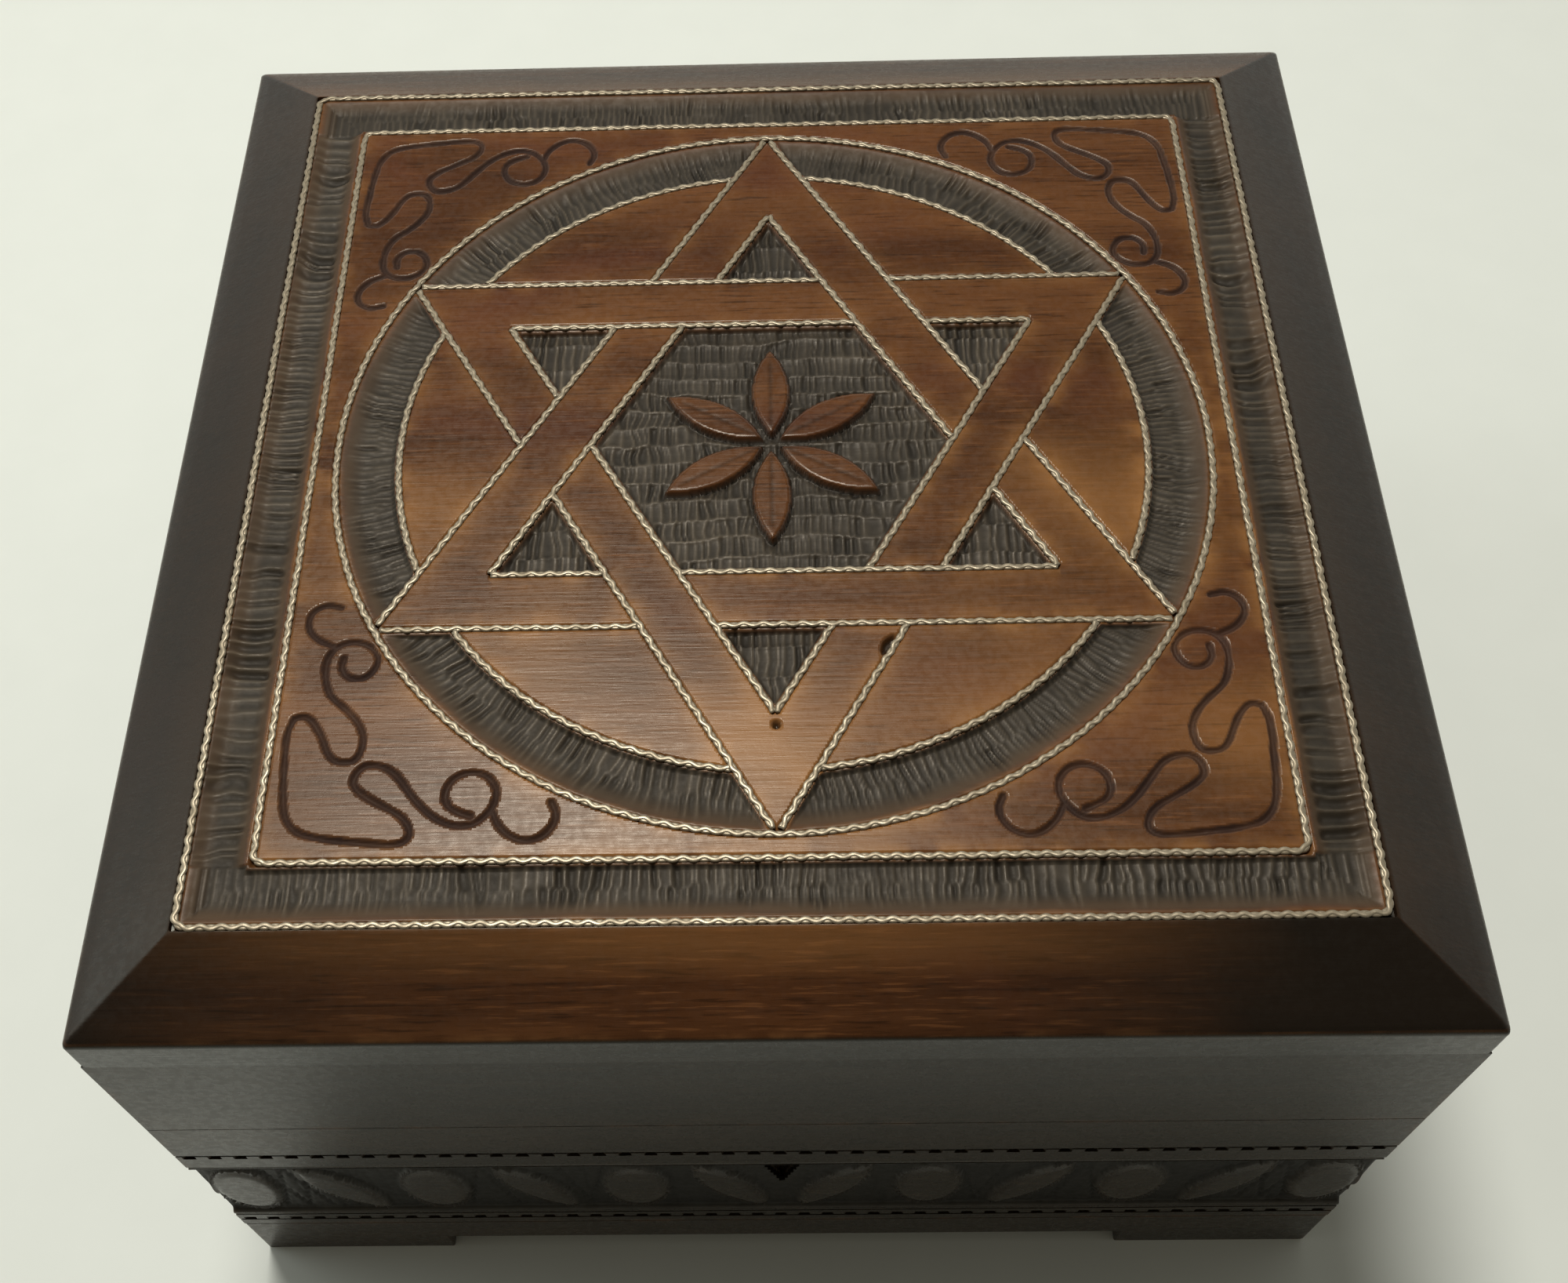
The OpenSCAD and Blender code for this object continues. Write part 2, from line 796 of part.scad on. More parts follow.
// Bolt plate with two guide slots, a notch for the key bit, and the nose that locks the lid
module lock_bolt()
    color(steel)
        difference() {
            along_y(staple_y - bolt_t / 2, staple_y + bolt_t / 2) {
                translate([-18, bolt_z0])
                    square([32, bolt_z1 - bolt_z0]);
                translate([-18, bolt_z0])
                    square([12, nose_z0 + nose_h - bolt_z0]);
                translate([-18, nose_z0])
                    square([18 + nose_x, nose_h]);
            }
            for (x = stud_x) {
                block([x - bolt_travel, x], [staple_y - cut, staple_y + cut],
                      [stud_z - stud_r - 0.1, stud_z + stud_r + 0.1]);
                for (end = [x - bolt_travel, x])
                    rod_y([end, staple_y - cut, stud_z], stud_r + 0.1, 2 * cut);
            }
            // notch for the key bit
            block([-bolt_travel / 2 - 2.5, -bolt_travel / 2 + 2.5], [staple_y - cut, staple_y + cut],
                  [bolt_z0 - cut, bolt_z0 + 3]);
        }

module lock_guide_studs()
    color(steel)
        for (x = stud_x)
            rod_y([x, cavity_y0, stud_z], stud_r, staple_y + bolt_t / 2 + 0.6 - cavity_y0);

// Bent leaf that keeps the bolt from sliding by itself
module lock_spring()
    color(steel)
        along_y(staple_y - 1.1, staple_y + 1.1)
            polygon([[4, bolt_z1 + 0.1], [12, bolt_z1 + 0.1], [lock_w / 2 - sheet_t - snug, bolt_z1 + 6],
                     [lock_w / 2 - sheet_t - snug, bolt_z1 + 6.5], [11.8, bolt_z1 + 0.5],
                     [4, bolt_z1 + 0.5]]);

module lock_screws()
    color(brass)
        lock_screw_places()
            screw(5);

wall_front();
wall_back();
wall_left();
wall_right();
bottom_panel();
base_strip_front();
base_strip_back();
base_strip_left();
base_strip_right();
front_panel();
panel_stop_peg();
strip_stop_peg();
key();
lid_board();
lid_wall_front();
lid_wall_back();
lid_wall_left();
lid_wall_right();
inlay_square_outer();
inlay_square_inner();
inlay_ring_outer();
inlay_ring_inner();
inlay_star_outline();
inlay_star_inner();
strike_plate();
strike_screws();
hinge_leaf_body_left();
hinge_leaf_body_right();
hinge_leaf_lid_left();
hinge_leaf_lid_right();
hinge_pin_left();
hinge_pin_right();
hinge_screws_body();
hinge_screws_lid();
lock_case();
lock_cover();
lock_bolt();
lock_guide_studs();
lock_key_post();
lock_spring();
lock_screws();
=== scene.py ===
import math

import bpy
import numpy as np
from mathutils import Matrix, Vector


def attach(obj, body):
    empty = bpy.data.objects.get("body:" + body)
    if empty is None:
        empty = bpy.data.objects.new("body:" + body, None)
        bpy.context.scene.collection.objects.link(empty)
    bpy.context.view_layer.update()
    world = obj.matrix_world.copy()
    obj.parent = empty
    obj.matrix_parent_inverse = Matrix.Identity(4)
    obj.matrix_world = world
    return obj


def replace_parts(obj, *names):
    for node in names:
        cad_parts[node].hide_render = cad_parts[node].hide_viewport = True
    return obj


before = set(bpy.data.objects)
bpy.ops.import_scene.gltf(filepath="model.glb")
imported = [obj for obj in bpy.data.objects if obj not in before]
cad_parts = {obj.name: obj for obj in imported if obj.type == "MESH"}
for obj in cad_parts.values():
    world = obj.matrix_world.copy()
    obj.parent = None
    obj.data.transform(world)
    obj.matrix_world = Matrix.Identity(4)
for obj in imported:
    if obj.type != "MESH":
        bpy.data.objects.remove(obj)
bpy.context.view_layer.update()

# Everything below is in millimetres, and becomes metres when a mesh is made.
MM = 0.001
HALF = 82.5            # outer face of a wall
FACE_Z = 100.0         # carved face of the lid
BOARD_Z = 88.0         # underside of the lid board
SQUARE_OUT, SQUARE_IN = 70.0, 62.0
RING_OUT, RING_IN = 59.0, 50.5
STAR_OUT, STAR_IN = 29.5, 21.25     # distance of a star bar's two lines from the centre
SLAB = 4.0             # thickness of the carved slabs of the lid
GRID = 0.25            # grid of the carved slabs of the lid
GROUND = 1.0           # depth of the gouged ground
WIRE_SEAT = 0.56       # half width of the groove under a wire
SCROLL_HALF = 0.54     # half width of a carved scroll
SCROLL_DEPTH = 0.55
EDGE = 0.4             # uncut strip beside the wires of a gouged band
FLAT = 0.004           # heights below this count as flat
RING_MIDDLE = 54.7     # radius along which the strokes of the ring are counted
BORDER_PITCH = 1.06    # distance between the gouge strokes of the border
RING_PITCH = 1.0       # of the ring
HEX_PITCH, HEX_ROW = 1.0, 3.1              # of the hexagon, and the height of its rows
TRIANGLE_PITCH, TRIANGLE_ROW = 1.12, 4.6   # of the six small triangles
PETAL_PLACE, PETAL_LENGTH, PETAL_WIDTH = 8.9, 15.2, 5.2
NICK = (14.2, -32.9, 60, 4.2, 1.7)         # place, direction, length and width of the small nick
NAIL = (0.1, -44.1)    # nail hole in the lower point of the star
BEVEL_TOP = 70.5       # where the bevel of the lid board starts
BEVEL_DROP = 5.0       # how far the bevel falls to the side of the board
FRIEZE_Z = (21.1, 44.7)
FRIEZE_DEPTH = 1.5
FRIEZE_GRID = 0.4
OVAL_HALF_WIDTH, OVAL_HALF_HEIGHT = 4.7, 9.6
LEAF_ANGLE, LEAF_LENGTH, LEAF_WIDTH = 65, 22.5, 6.6
NOTCH = (6.2, 43.7, 33.2)           # width, top and low point of the fingernail notch
BARS = range(30, 390, 60)           # directions of the six star bars


# ---------- meshes ----------

def new_piece(name, points, loops, counts, body, smooth=None, attributes=None):
    """A mesh piece from flat arrays of polygon corners; smooth says for each polygon if it is smooth."""
    mesh = bpy.data.meshes.new(name)
    mesh.vertices.add(len(points))
    mesh.vertices.foreach_set("co", (np.asarray(points, float) * MM).astype(np.float32).ravel())
    mesh.loops.add(len(loops))
    mesh.loops.foreach_set("vertex_index", np.asarray(loops, np.int32))
    starts = np.concatenate([[0], np.cumsum(counts)[:-1]]).astype(np.int32)
    mesh.polygons.add(len(counts))
    mesh.polygons.foreach_set("loop_start", starts)
    mesh.update(calc_edges=True)
    if smooth is None:
        smooth = np.ones(len(counts), bool)
    mesh.polygons.foreach_set("use_smooth", smooth)
    for key, values in (attributes or {}).items():
        attribute = mesh.attributes.new(key, "FLOAT", "POINT")
        attribute.data.foreach_set("value", np.asarray(values, np.float32))
    mesh.update()
    obj = bpy.data.objects.new(name, mesh)
    bpy.context.scene.collection.objects.link(obj)
    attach(obj, body)
    return obj


def merged_cells(cells, flat, sizes, needed):
    """Polygons over the cells of a grid. Flat cells are merged into squares of the given sizes, which keep
    each grid point on their edges that a neighbour uses. Returns corner arrays and polygon sizes."""
    ny, nx = cells.shape
    taken = np.zeros_like(cells)
    squares = []
    for size in sizes:
        my, mx = ny // size, nx // size
        full = (cells & flat & ~taken)[:my * size, :mx * size].reshape(my, size, mx, size).all(axis=(1, 3))
        taken[:my * size, :mx * size] |= np.repeat(np.repeat(full, size, 0), size, 1)
        j, i = np.nonzero(full)
        squares.append((size, j * size, i * size))
    j, i = np.nonzero(cells & ~taken)
    squares.append((1, j, i))
    used = needed.copy()
    for size, j, i in squares:
        for dj, di in ((0, 0), (0, size), (size, size), (size, 0)):
            used[j + dj, i + di] = True
    loops, counts, is_flat = [], [], []
    for size, j, i in squares:
        step = np.arange(size)
        dj = np.concatenate([0 * step, step, 0 * step + size, size - step])
        di = np.concatenate([step, 0 * step + size, size - step, 0 * step])
        jj, ii = j[:, None] + dj, i[:, None] + di
        keep = used[jj, ii]
        loops.append((jj * (nx + 1) + ii)[keep])
        counts.append(keep.sum(1))
        is_flat.append(flat[j, i])
    return np.concatenate(loops), np.concatenate(counts), np.concatenate(is_flat), used


def carved_slab(name, us, vs, height, cells, depth, place, body, attributes, sizes=(4, 2)):
    """A closed slab whose front is the height field and whose back is flat, depth below the face."""
    ny, nx = cells.shape
    level = np.abs(height) < 1e-6
    flat = level[:-1, :-1] & level[1:, :-1] & level[:-1, 1:] & level[1:, 1:]
    padded = np.pad(cells, 1)
    rim = np.zeros((ny + 1, nx + 1), bool)
    sides = []
    # edges along u: the cell above or below is missing
    low, high = padded[1:, 1:-1] & ~padded[:-1, 1:-1], ~padded[1:, 1:-1] & padded[:-1, 1:-1]
    for mask, turn in ((low, False), (high, True)):
        j, i = np.nonzero(mask)
        a, b = j * (nx + 1) + i, j * (nx + 1) + i + 1
        sides.append((b, a) if not turn else (a, b))
        rim[j, i] = rim[j, i + 1] = True
    low, high = padded[1:-1, 1:] & ~padded[1:-1, :-1], ~padded[1:-1, 1:] & padded[1:-1, :-1]
    for mask, turn in ((low, False), (high, True)):
        j, i = np.nonzero(mask)
        a, b = j * (nx + 1) + i, (j + 1) * (nx + 1) + i
        sides.append((a, b) if not turn else (b, a))
        rim[j, i] = rim[j + 1, i] = True
    front, front_n, front_flat, used = merged_cells(cells, flat, sizes, rim)
    back, back_n, _, back_used = merged_cells(cells, np.ones_like(cells), (16, 8, 4, 2), rim)
    # turn each back polygon over
    start = np.repeat(np.cumsum(back_n) - back_n, back_n)
    total = np.repeat(back_n, back_n)
    back = back[2 * start + total - 1 - np.arange(len(back))]
    uu, vv = np.meshgrid(us, vs)
    count = (ny + 1) * (nx + 1)
    top_of = np.full(count, -1)
    top_at = np.nonzero(used.ravel())[0]
    top_of[top_at] = np.arange(len(top_at))
    back_of = np.full(count, -1)
    back_at = np.nonzero(back_used.ravel())[0]
    back_of[back_at] = np.arange(len(back_at)) + len(top_at)
    a = np.concatenate([s[0] for s in sides])
    b = np.concatenate([s[1] for s in sides])
    quads = np.stack([top_of[a], top_of[b], back_of[b], back_of[a]], 1).ravel()
    loops = np.concatenate([top_of[front], back_of[back], quads])
    counts = np.concatenate([front_n, back_n, np.full(len(a), 4)])
    smooth = np.concatenate([~front_flat, np.zeros(len(back_n) + len(a), bool)])
    points = np.concatenate([
        place(uu.ravel()[top_at], vv.ravel()[top_at], height.ravel()[top_at]),
        place(uu.ravel()[back_at], vv.ravel()[back_at], np.full(len(back_at), -depth)),
    ])
    values = {k: np.concatenate([v.ravel()[top_at], v.ravel()[back_at]]) for k, v in attributes.items()}
    return new_piece(name, points, loops, counts, body, smooth, values)


# ---------- fields ----------

def soft(a, b, x):
    t = np.clip((x - a) / (b - a), 0, 1)
    return t * t * (3 - 2 * t)


def lattice(x, y, cell, seed):
    """A smooth random field from -1 to 1 that changes over the cell size."""
    table = np.random.RandomState(seed).uniform(-1, 1, (61, 61))
    u, v = x / cell + 30.37, y / cell + 30.71
    i, j = np.floor(u).astype(int), np.floor(v).astype(int)
    f, g = u - i, v - j
    f, g = f * f * (3 - 2 * f), g * g * (3 - 2 * g)
    i, j = i % 60, j % 60
    return ((table[j, i] * (1 - f) + table[j, i + 1] * f) * (1 - g)
            + (table[j + 1, i] * (1 - f) + table[j + 1, i + 1] * f) * g)


def strokes(u, pitch, seed):
    """Gouge strokes side by side along u: 0 in the middle of a stroke to 1 on the ridge, and its depth."""
    random = np.random.RandomState(seed)
    count = 900
    ridge = (np.arange(count) - count / 2 + random.uniform(-0.33, 0.33, count)) * pitch
    deep = random.uniform(0.3, 1.0, count) * (0.75 + 0.25 * np.sin(np.arange(count) * 0.61 + seed))
    k = np.clip(np.searchsorted(ridge, u), 1, count - 1)
    t = (u - ridge[k - 1]) / (ridge[k] - ridge[k - 1])
    return (2 * t - 1) ** 2, deep[k]


def star_distance(x, y):
    """How far each point is out along the nearest side of the upright and of the turned triangle."""
    def reach(first):
        return np.max([x * math.cos(math.radians(a)) + y * math.sin(math.radians(a))
                       for a in (first, first + 120, first + 240)], axis=0)
    return reach(-90), reach(90)


def line_gap(distance):
    """The stretch of a star line that the crossing bar hides."""
    return (-(STAR_OUT - distance / 2) / math.sin(math.radians(60)),
            -(STAR_IN - distance / 2) / math.sin(math.radians(60)))


def wire_distance(x, y):
    r, m = np.hypot(x, y), np.maximum(np.abs(x), np.abs(y))
    d = np.minimum(np.abs(m - SQUARE_OUT), np.abs(m - SQUARE_IN))
    d = np.minimum(d, np.abs(r - RING_OUT))
    up, down = star_distance(x, y)
    d = np.where((up > STAR_OUT) & (down > STAR_OUT), np.minimum(d, np.abs(r - RING_IN)), d)
    for a in BARS:
        c, s = math.cos(math.radians(a)), math.sin(math.radians(a))
        out, along = x * c + y * s, y * c - x * s
        for distance in (STAR_OUT, STAR_IN):
            low, high = line_gap(distance)
            end = distance * math.tan(math.radians(60))
            shown = (np.abs(along) < end) & ~((along > low) & (along < high))
            d = np.where(shown, np.minimum(d, np.abs(out - distance)), d)
    return d


# Scroll in the lower left corner, as the points of its four strokes
SCROLL = [
    [(-59.5, -42.3), (-60.2, -44.5), (-60, -48), (-59.6, -53), (-59, -56), (-57.5, -58), (-55, -58.8),
     (-50, -59.4), (-46, -59.8), (-44.5, -59.6), (-43.6, -58.7), (-43.9, -57.2), (-45, -55.9),
     (-47.5, -54.5), (-50, -53), (-51.2, -51.8), (-51.2, -50.5), (-50.4, -49.2), (-49, -48.9),
     (-47, -49.5), (-45.7, -50.8), (-44, -53.2), (-42.2, -55.3), (-40.3, -56.7), (-38.2, -57.5),
     (-36, -57.2), (-34.5, -55.8), (-33.6, -54), (-33.8, -52), (-35.2, -50.4), (-37.3, -50.1),
     (-39.2, -51), (-40, -53), (-39.6, -54.6), (-38.3, -55.5), (-36.6, -56.1)],
    [(-34, -55.6), (-33.3, -57.3), (-31.8, -58.8), (-29.8, -59.6), (-27.7, -58.9), (-26.5, -57.3),
     (-26.3, -55.8), (-27, -54.3)],
    [(-59.5, -42.3), (-58.2, -41.9), (-57, -43), (-55.8, -45), (-54.9, -47.2), (-53.8, -48.5),
     (-52, -48.6), (-51.2, -48.2), (-50.6, -46.8), (-50.6, -45), (-51.5, -43), (-53.3, -41),
     (-55.2, -39.5), (-56.2, -37.5), (-56.6, -35), (-56.3, -33), (-55, -31.5), (-52.5, -31.2),
     (-50.3, -32.5), (-49.8, -34.5), (-51, -36.6), (-53.2, -36.8), (-54.6, -35.2), (-54.3, -33.6)],
    [(-56, -31.8), (-58.2, -30.8), (-59.6, -28.8), (-59.3, -26.6), (-57.5, -25.5), (-55.5, -26)],
]


def smooth_line(points, rounds=2):
    """Chaikin's corner cutting, with both ends kept."""
    p = np.array(points, float)
    for _ in range(rounds):
        a, b = p[:-1], p[1:]
        cut_corners = np.stack([a * 0.75 + b * 0.25, a * 0.25 + b * 0.75], 1).reshape(-1, 2)
        p = np.concatenate([p[:1], cut_corners, p[-1:]])
    return p


def line_distance(x, y, lines):
    d = np.full(x.shape, 9.0)
    for line in lines:
        for (ax, ay), (bx, by) in zip(line[:-1], line[1:]):
            near = ((x > min(ax, bx) - 2) & (x < max(ax, bx) + 2)
                    & (y > min(ay, by) - 2) & (y < max(ay, by) + 2))
            px, py = x[near], y[near]
            length = (bx - ax) ** 2 + (by - ay) ** 2 + 1e-9
            t = np.clip(((px - ax) * (bx - ax) + (py - ay) * (by - ay)) / length, 0, 1)
            d[near] = np.minimum(d[near], np.hypot(px - ax - t * (bx - ax), py - ay - t * (by - ay)))
    return d


def lens(x, y, cx, cy, angle, length, width):
    """Distance inside the edge of a pointed leaf, and the place across it and along it."""
    c, s = math.cos(math.radians(angle)), math.sin(math.radians(angle))
    along, across = (x - cx) * c + (y - cy) * s, (y - cy) * c - (x - cx) * s
    radius = (length ** 2 + width ** 2) / (4 * width)
    inside = radius - np.hypot(along, np.abs(across) + radius - width / 2)
    return inside, across, along


def trough(v, width):
    """Cross-section of a gouged band: a steep inner side and a gentle outer one, 0 to 1."""
    return soft(0.25, 1.1, v) * (1 - 0.85 * soft(0.55 * width, 0.98 * width, v))


def band_strokes(u, v, width, pitch, seed, first=0.15, wider=0.0, rows=1.0):
    """Rows of gouge strokes across a band: place in a stroke, depth of the strokes, and where they are."""
    wobble = 0.35 * lattice(u, v, 3.1, seed + 7)
    a, deep_a = strokes(u + wobble + 0.1 * v * lattice(u, 0 * v, 9, seed + 8), pitch, seed)
    b, deep_b = strokes(u - wobble + 0.4, pitch * 0.94, seed + 1)
    split = rows * soft(-0.5, 0.5, v - 0.42 * width - 0.9 * lattice(u, v, 4.3, seed + 2))
    ends = 1.1 * lattice(u, 0 * v, 1.3, seed + 3)
    window = soft(0, 0.8, v - first + 0.4 * ends * (first > 1))
    window = window * (1 - soft(0.56 * width, 0.84 * width, v + ends - wider))
    fine = 0.14 * window * lattice(u, v, 0.9, seed + 5)
    window = window * (0.68 + 0.32 * lattice(u, v, 5.3, seed + 4)) + fine
    return (a * (1 - split) + b * split), (deep_a * (1 - split) + deep_b * split), window


CURLS = [smooth_line(line) for line in SCROLL]

# Lighter patches of the lid's face, partly rubbed wood and partly painted highlight: x, y, size and strength
LIGHT_PATCHES_AND_HIGHLIGHTS = [(-46, -12, 7, 0.9), (46, -13, 9, 1.0), (57, -45, 8, 0.8), (0, -47, 9, 0.75), (30, -35, 12, 0.35),
          (-30, -33, 9, 0.45), (-57, -20, 10, 0.3), (0, -60, 40, 0.3), (36, -6, 5, 0.7), (-60, -60, 16, 0.2),
          (60, 0, 14, 0.25)]


class Face:
    """The carved face at the points x, y: its height and the attributes that its finish follows."""

    def __init__(self, x, y):
        self.x, self.y = x, y
        self.r, self.m = np.hypot(x, y), np.maximum(np.abs(x), np.abs(y))
        self.up, self.down = star_distance(x, y)
        self.height, self.brown = np.zeros_like(x), np.zeros_like(x)
        self.carve, self.ridge, self.dirt_and_shade = np.zeros_like(x), np.zeros_like(x), np.zeros_like(x)

    # the ridge mask gets a painted highlight on rubbed wood, and the last mask dirt with painted shade
    def cut(self, mask, height, carve, ridge, dirt_and_shade):
        self.height[mask] = np.minimum(height, 0)[mask]
        self.carve[mask] = carve[mask]
        self.ridge[mask] = ridge[mask]
        self.dirt_and_shade[mask] = dirt_and_shade[mask]


def gouge_border(face):
    """Strokes across the border band; its left and right sides are cut deeper, and leave a rim."""
    x, y = face.x, face.y
    width = SQUARE_OUT - SQUARE_IN
    v = face.m - SQUARE_IN
    flat_band = np.abs(y) > SQUARE_IN
    u = np.where(flat_band, x, 0.72 * y) + 17.3 * (x + y > 0)
    pitch_wave = 6 * lattice(u, 0 * v, 31, 12)
    a, deep, window = band_strokes(u + pitch_wave, v, width, BORDER_PITCH, 11, np.where(flat_band, 0.15, 1.5),
                                   np.where(flat_band, 0.0, 1.7), flat_band)
    base = np.where(flat_band, trough(v, width), soft(0.2, 2.6, v) * (1 - 0.8 * soft(5.6, 7.9, v)))
    base = base * (0.86 + 0.14 * lattice(x, y, 7, 5))
    h = -GROUND * base - np.where(flat_band, 0.74, 0.95) * window * deep * (1 - a) + 0.28 * window
    slopes = np.maximum(soft(4.4, 7.0, v), ~flat_band * soft(2.9, 1.2, v))
    face.brown = slopes * (v < width) * (v > 0)
    inside = (v > EDGE) & (v < width - EDGE)
    # ridges get a painted highlight, and the stroke valleys dirt with painted shade
    face.cut(inside, h, soft(0.05, 0.4, base), window * a, window * deep * (1 - a))


def gouge_ring(face):
    """Strokes along the radius of the ring."""
    width = RING_OUT - RING_IN
    v = face.r - RING_IN
    s = np.minimum(face.up, face.down) - STAR_OUT
    u = RING_MIDDLE * np.arctan2(face.y, face.x)
    a, deep, window = band_strokes(u + 5 * lattice(u, 0 * v, 27, 24), v, width, RING_PITCH, 23)
    edge = soft(0.35, 1.0, s)
    base = trough(v, width) * edge * (0.88 + 0.12 * lattice(face.x, face.y, 6, 6))
    window = window * edge
    h = -GROUND * base - 0.72 * window * deep * (1 - a) + 0.26 * window
    inside = (v > EDGE) & (v < width - EDGE) & (s > 0.3)
    face.brown = np.where(inside, soft(4.4, 7.8, v), face.brown)
    # ridges get a painted highlight, and the stroke valleys dirt with painted shade
    face.cut(inside, h, soft(0.05, 0.4, base), window * a, window * deep * (1 - a))


def gouge_hexagon(face):
    """Short strokes in rows."""
    x, y = face.x, face.y
    s = STAR_IN - np.maximum(face.up, face.down)
    yy = y + 0.7 * lattice(x, y, 9, 31) + 0.3 * lattice(x, y, 2.6, 34)
    row = np.floor(yy / HEX_ROW)
    t = yy / HEX_ROW - row
    u = x + 37.7 * row + 0.35 * lattice(x, y, 2.5, 32) + 4 * lattice(x, row, 13, 36)
    a, deep = strokes(u, HEX_PITCH, 33)
    edge = soft(0.3, 1.0, s)
    between = (2 * t - 1) ** 4 * (0.7 + 0.3 * lattice(x, y, 1.4, 35))
    stroke = 0.46 * edge * deep * (1 - a) * (1 - 0.8 * between)
    h = -GROUND * edge * (1 - 0.3 * between) - stroke + 0.16 * edge
    # ridges get a painted highlight, and the stroke valleys dirt with painted shade
    face.cut(s > 0.3, h, edge, edge * np.maximum(a * 0.8, between), edge * deep * (1 - a) * (1 - between))


def carve_rosette(face):
    """Six petals, left standing in the hexagon with a deeper line round them."""
    petals = [lens(face.x, face.y, PETAL_PLACE * math.cos(math.radians(b)),
                   PETAL_PLACE * math.sin(math.radians(b)), b, PETAL_LENGTH, PETAL_WIDTH) for b in BARS]
    petal = np.max([p[0] for p in petals], axis=0)
    hexagon = STAR_IN - np.maximum(face.up, face.down) > 1
    around = (petal <= 0) & (petal > -0.9) & hexagon
    face.height[around] -= 0.3 * (1 + petal[around] / 0.9)
    # dirt with painted shade in the line round the petals
    face.dirt_and_shade[around] = np.maximum(face.dirt_and_shade[around], 0.9 * (1 + petal[around] / 0.9))
    for inside, across, along in petals:
        on = (inside > 0) & (inside >= petal - 1e-9)
        vein = np.clip(1 - np.abs(across) / 0.55, 0, 1) * soft(7.2, 5.0, np.abs(along + 0.8))
        face.height[on] = (-0.22 * (1 - soft(0, 0.55, inside)) - 0.03 * vein)[on]
        face.carve[on] = 0.0
        face.ridge[on] = 0.0
        # painted shade at the petals' edges and in their veins
        face.dirt_and_shade[on] = np.maximum(0.5 * vein, 0.55 * (1 - soft(0, 0.5, inside)))[on]


def gouge_triangles(face):
    """The six small triangles between the bars of the star."""
    x, y = face.x, face.y
    for first, second in ((face.up, face.down), (face.down, face.up)):
        s = np.minimum(STAR_IN - first, second - STAR_OUT)
        yy = y + 0.3 * lattice(x, y, 5, 41)
        row = np.floor(yy / TRIANGLE_ROW)
        t = yy / TRIANGLE_ROW - row
        a, deep = strokes(x + 21.3 * row + 0.3 * lattice(x, y, 2.5, 42), TRIANGLE_PITCH, 43)
        between = (2 * t - 1) ** 6
        edge = soft(0.3, 1.0, s)
        h = -GROUND * edge * (1 - 0.2 * between) - 0.5 * edge * deep * (1 - a) + 0.16 * edge
        # ridges get a painted highlight, and the stroke valleys dirt with painted shade
        face.cut(s > 0.3, h, edge, edge * a, edge * deep * (1 - a))


def carve_scrolls(face):
    """V grooves of the scrolls in the four corners. Returns how far each point is in a groove, which the
    finish darkens with stain and painted shade.
    """
    x, y = face.x, face.y
    d = line_distance(-np.abs(x), -np.abs(y), CURLS) + 0.08 * lattice(x, y, 1.7, 51)
    d = np.where(face.r > RING_OUT + 0.8, d, 9)
    scroll = np.clip(1 - d / SCROLL_HALF, 0, 1)
    face.height = np.minimum(face.height, np.where(scroll > 0, -SCROLL_DEPTH * scroll, 0))
    return soft(-0.1, 0.3, scroll) * (scroll > 0) * (0.86 + 0.14 * lattice(x, y, 3, 52))


def add_damage(face):
    """The nail hole and the small nick."""
    x, y = face.x, face.y
    nick = lens(x, y, *NICK)[0] + 0.15 * lattice(x, y, 0.8, 53)
    for pit in (soft(0.8, 0.25, np.hypot(x - NAIL[0], y - NAIL[1])), soft(0, 0.5, nick)):
        face.height = np.minimum(face.height, np.where(pit > 0, -0.8 * pit, 0))
        # dirt with painted shade in the nail hole and the nick
        face.dirt_and_shade = np.maximum(face.dirt_and_shade, pit)


def seat_wires(face, wire):
    """Grooves under the wires, which are at the distance wire."""
    seat = np.clip(1 - wire / WIRE_SEAT, 0, 1)
    face.height = np.minimum(face.height, np.where(seat > 0, -0.6 * soft(0, 0.7, seat), 0))
    # dirt with painted shade in the grooves under the wires
    face.dirt_and_shade = np.maximum(face.dirt_and_shade, 0.35 * soft(0.1, 0.7, seat))


def lid_field(x, y):
    """Height of the carved face, and the attributes that its finish follows."""
    face = Face(x, y)
    gouge_border(face)
    gouge_ring(face)
    gouge_hexagon(face)
    carve_rosette(face)
    gouge_triangles(face)
    groove = carve_scrolls(face)
    add_damage(face)
    wire = wire_distance(x, y)
    seat_wires(face, wire)
    height = np.where(np.abs(face.height) < FLAT, 0.0, face.height)

    # light, rubbed wood beside the wires and in some patches, with a painted highlight that grows towards the
    # front
    rub = 0.5 + 0.5 * lattice(x, y, 9, 61)
    spots = np.clip(0.5 + 1.3 * lattice(x, y, 3.1, 62) * rub + 0.3 * lattice(x, y, 1.1, 63), 0, 1)
    lighter_wood_and_highlight = np.exp(-(wire / 1.7) ** 1.4) * spots * (0.75 - 0.35 * soft(-20, 35, y))
    for px, py, size, amount in LIGHT_PATCHES_AND_HIGHLIGHTS:
        lighter_wood_and_highlight += amount * np.exp(-((x - px) ** 2 + (y - py) ** 2) / size ** 2) * (0.4 + 0.6 * rub)
    lighter_wood_and_highlight = np.clip(lighter_wood_and_highlight, 0, 1) * (1 - face.carve)
    return height, {"carve": face.carve, "ridge": np.clip(face.ridge, 0, 1), "dirt_and_shade": np.clip(face.dirt_and_shade, 0, 1),
                    "lighter_wood_and_highlight": lighter_wood_and_highlight, "brown": face.brown * face.carve * (0.6 + 0.4 * rub), "groove": groove}


def on_lid(u, v, h):
    return np.stack([u, v, FACE_Z + h], 1)


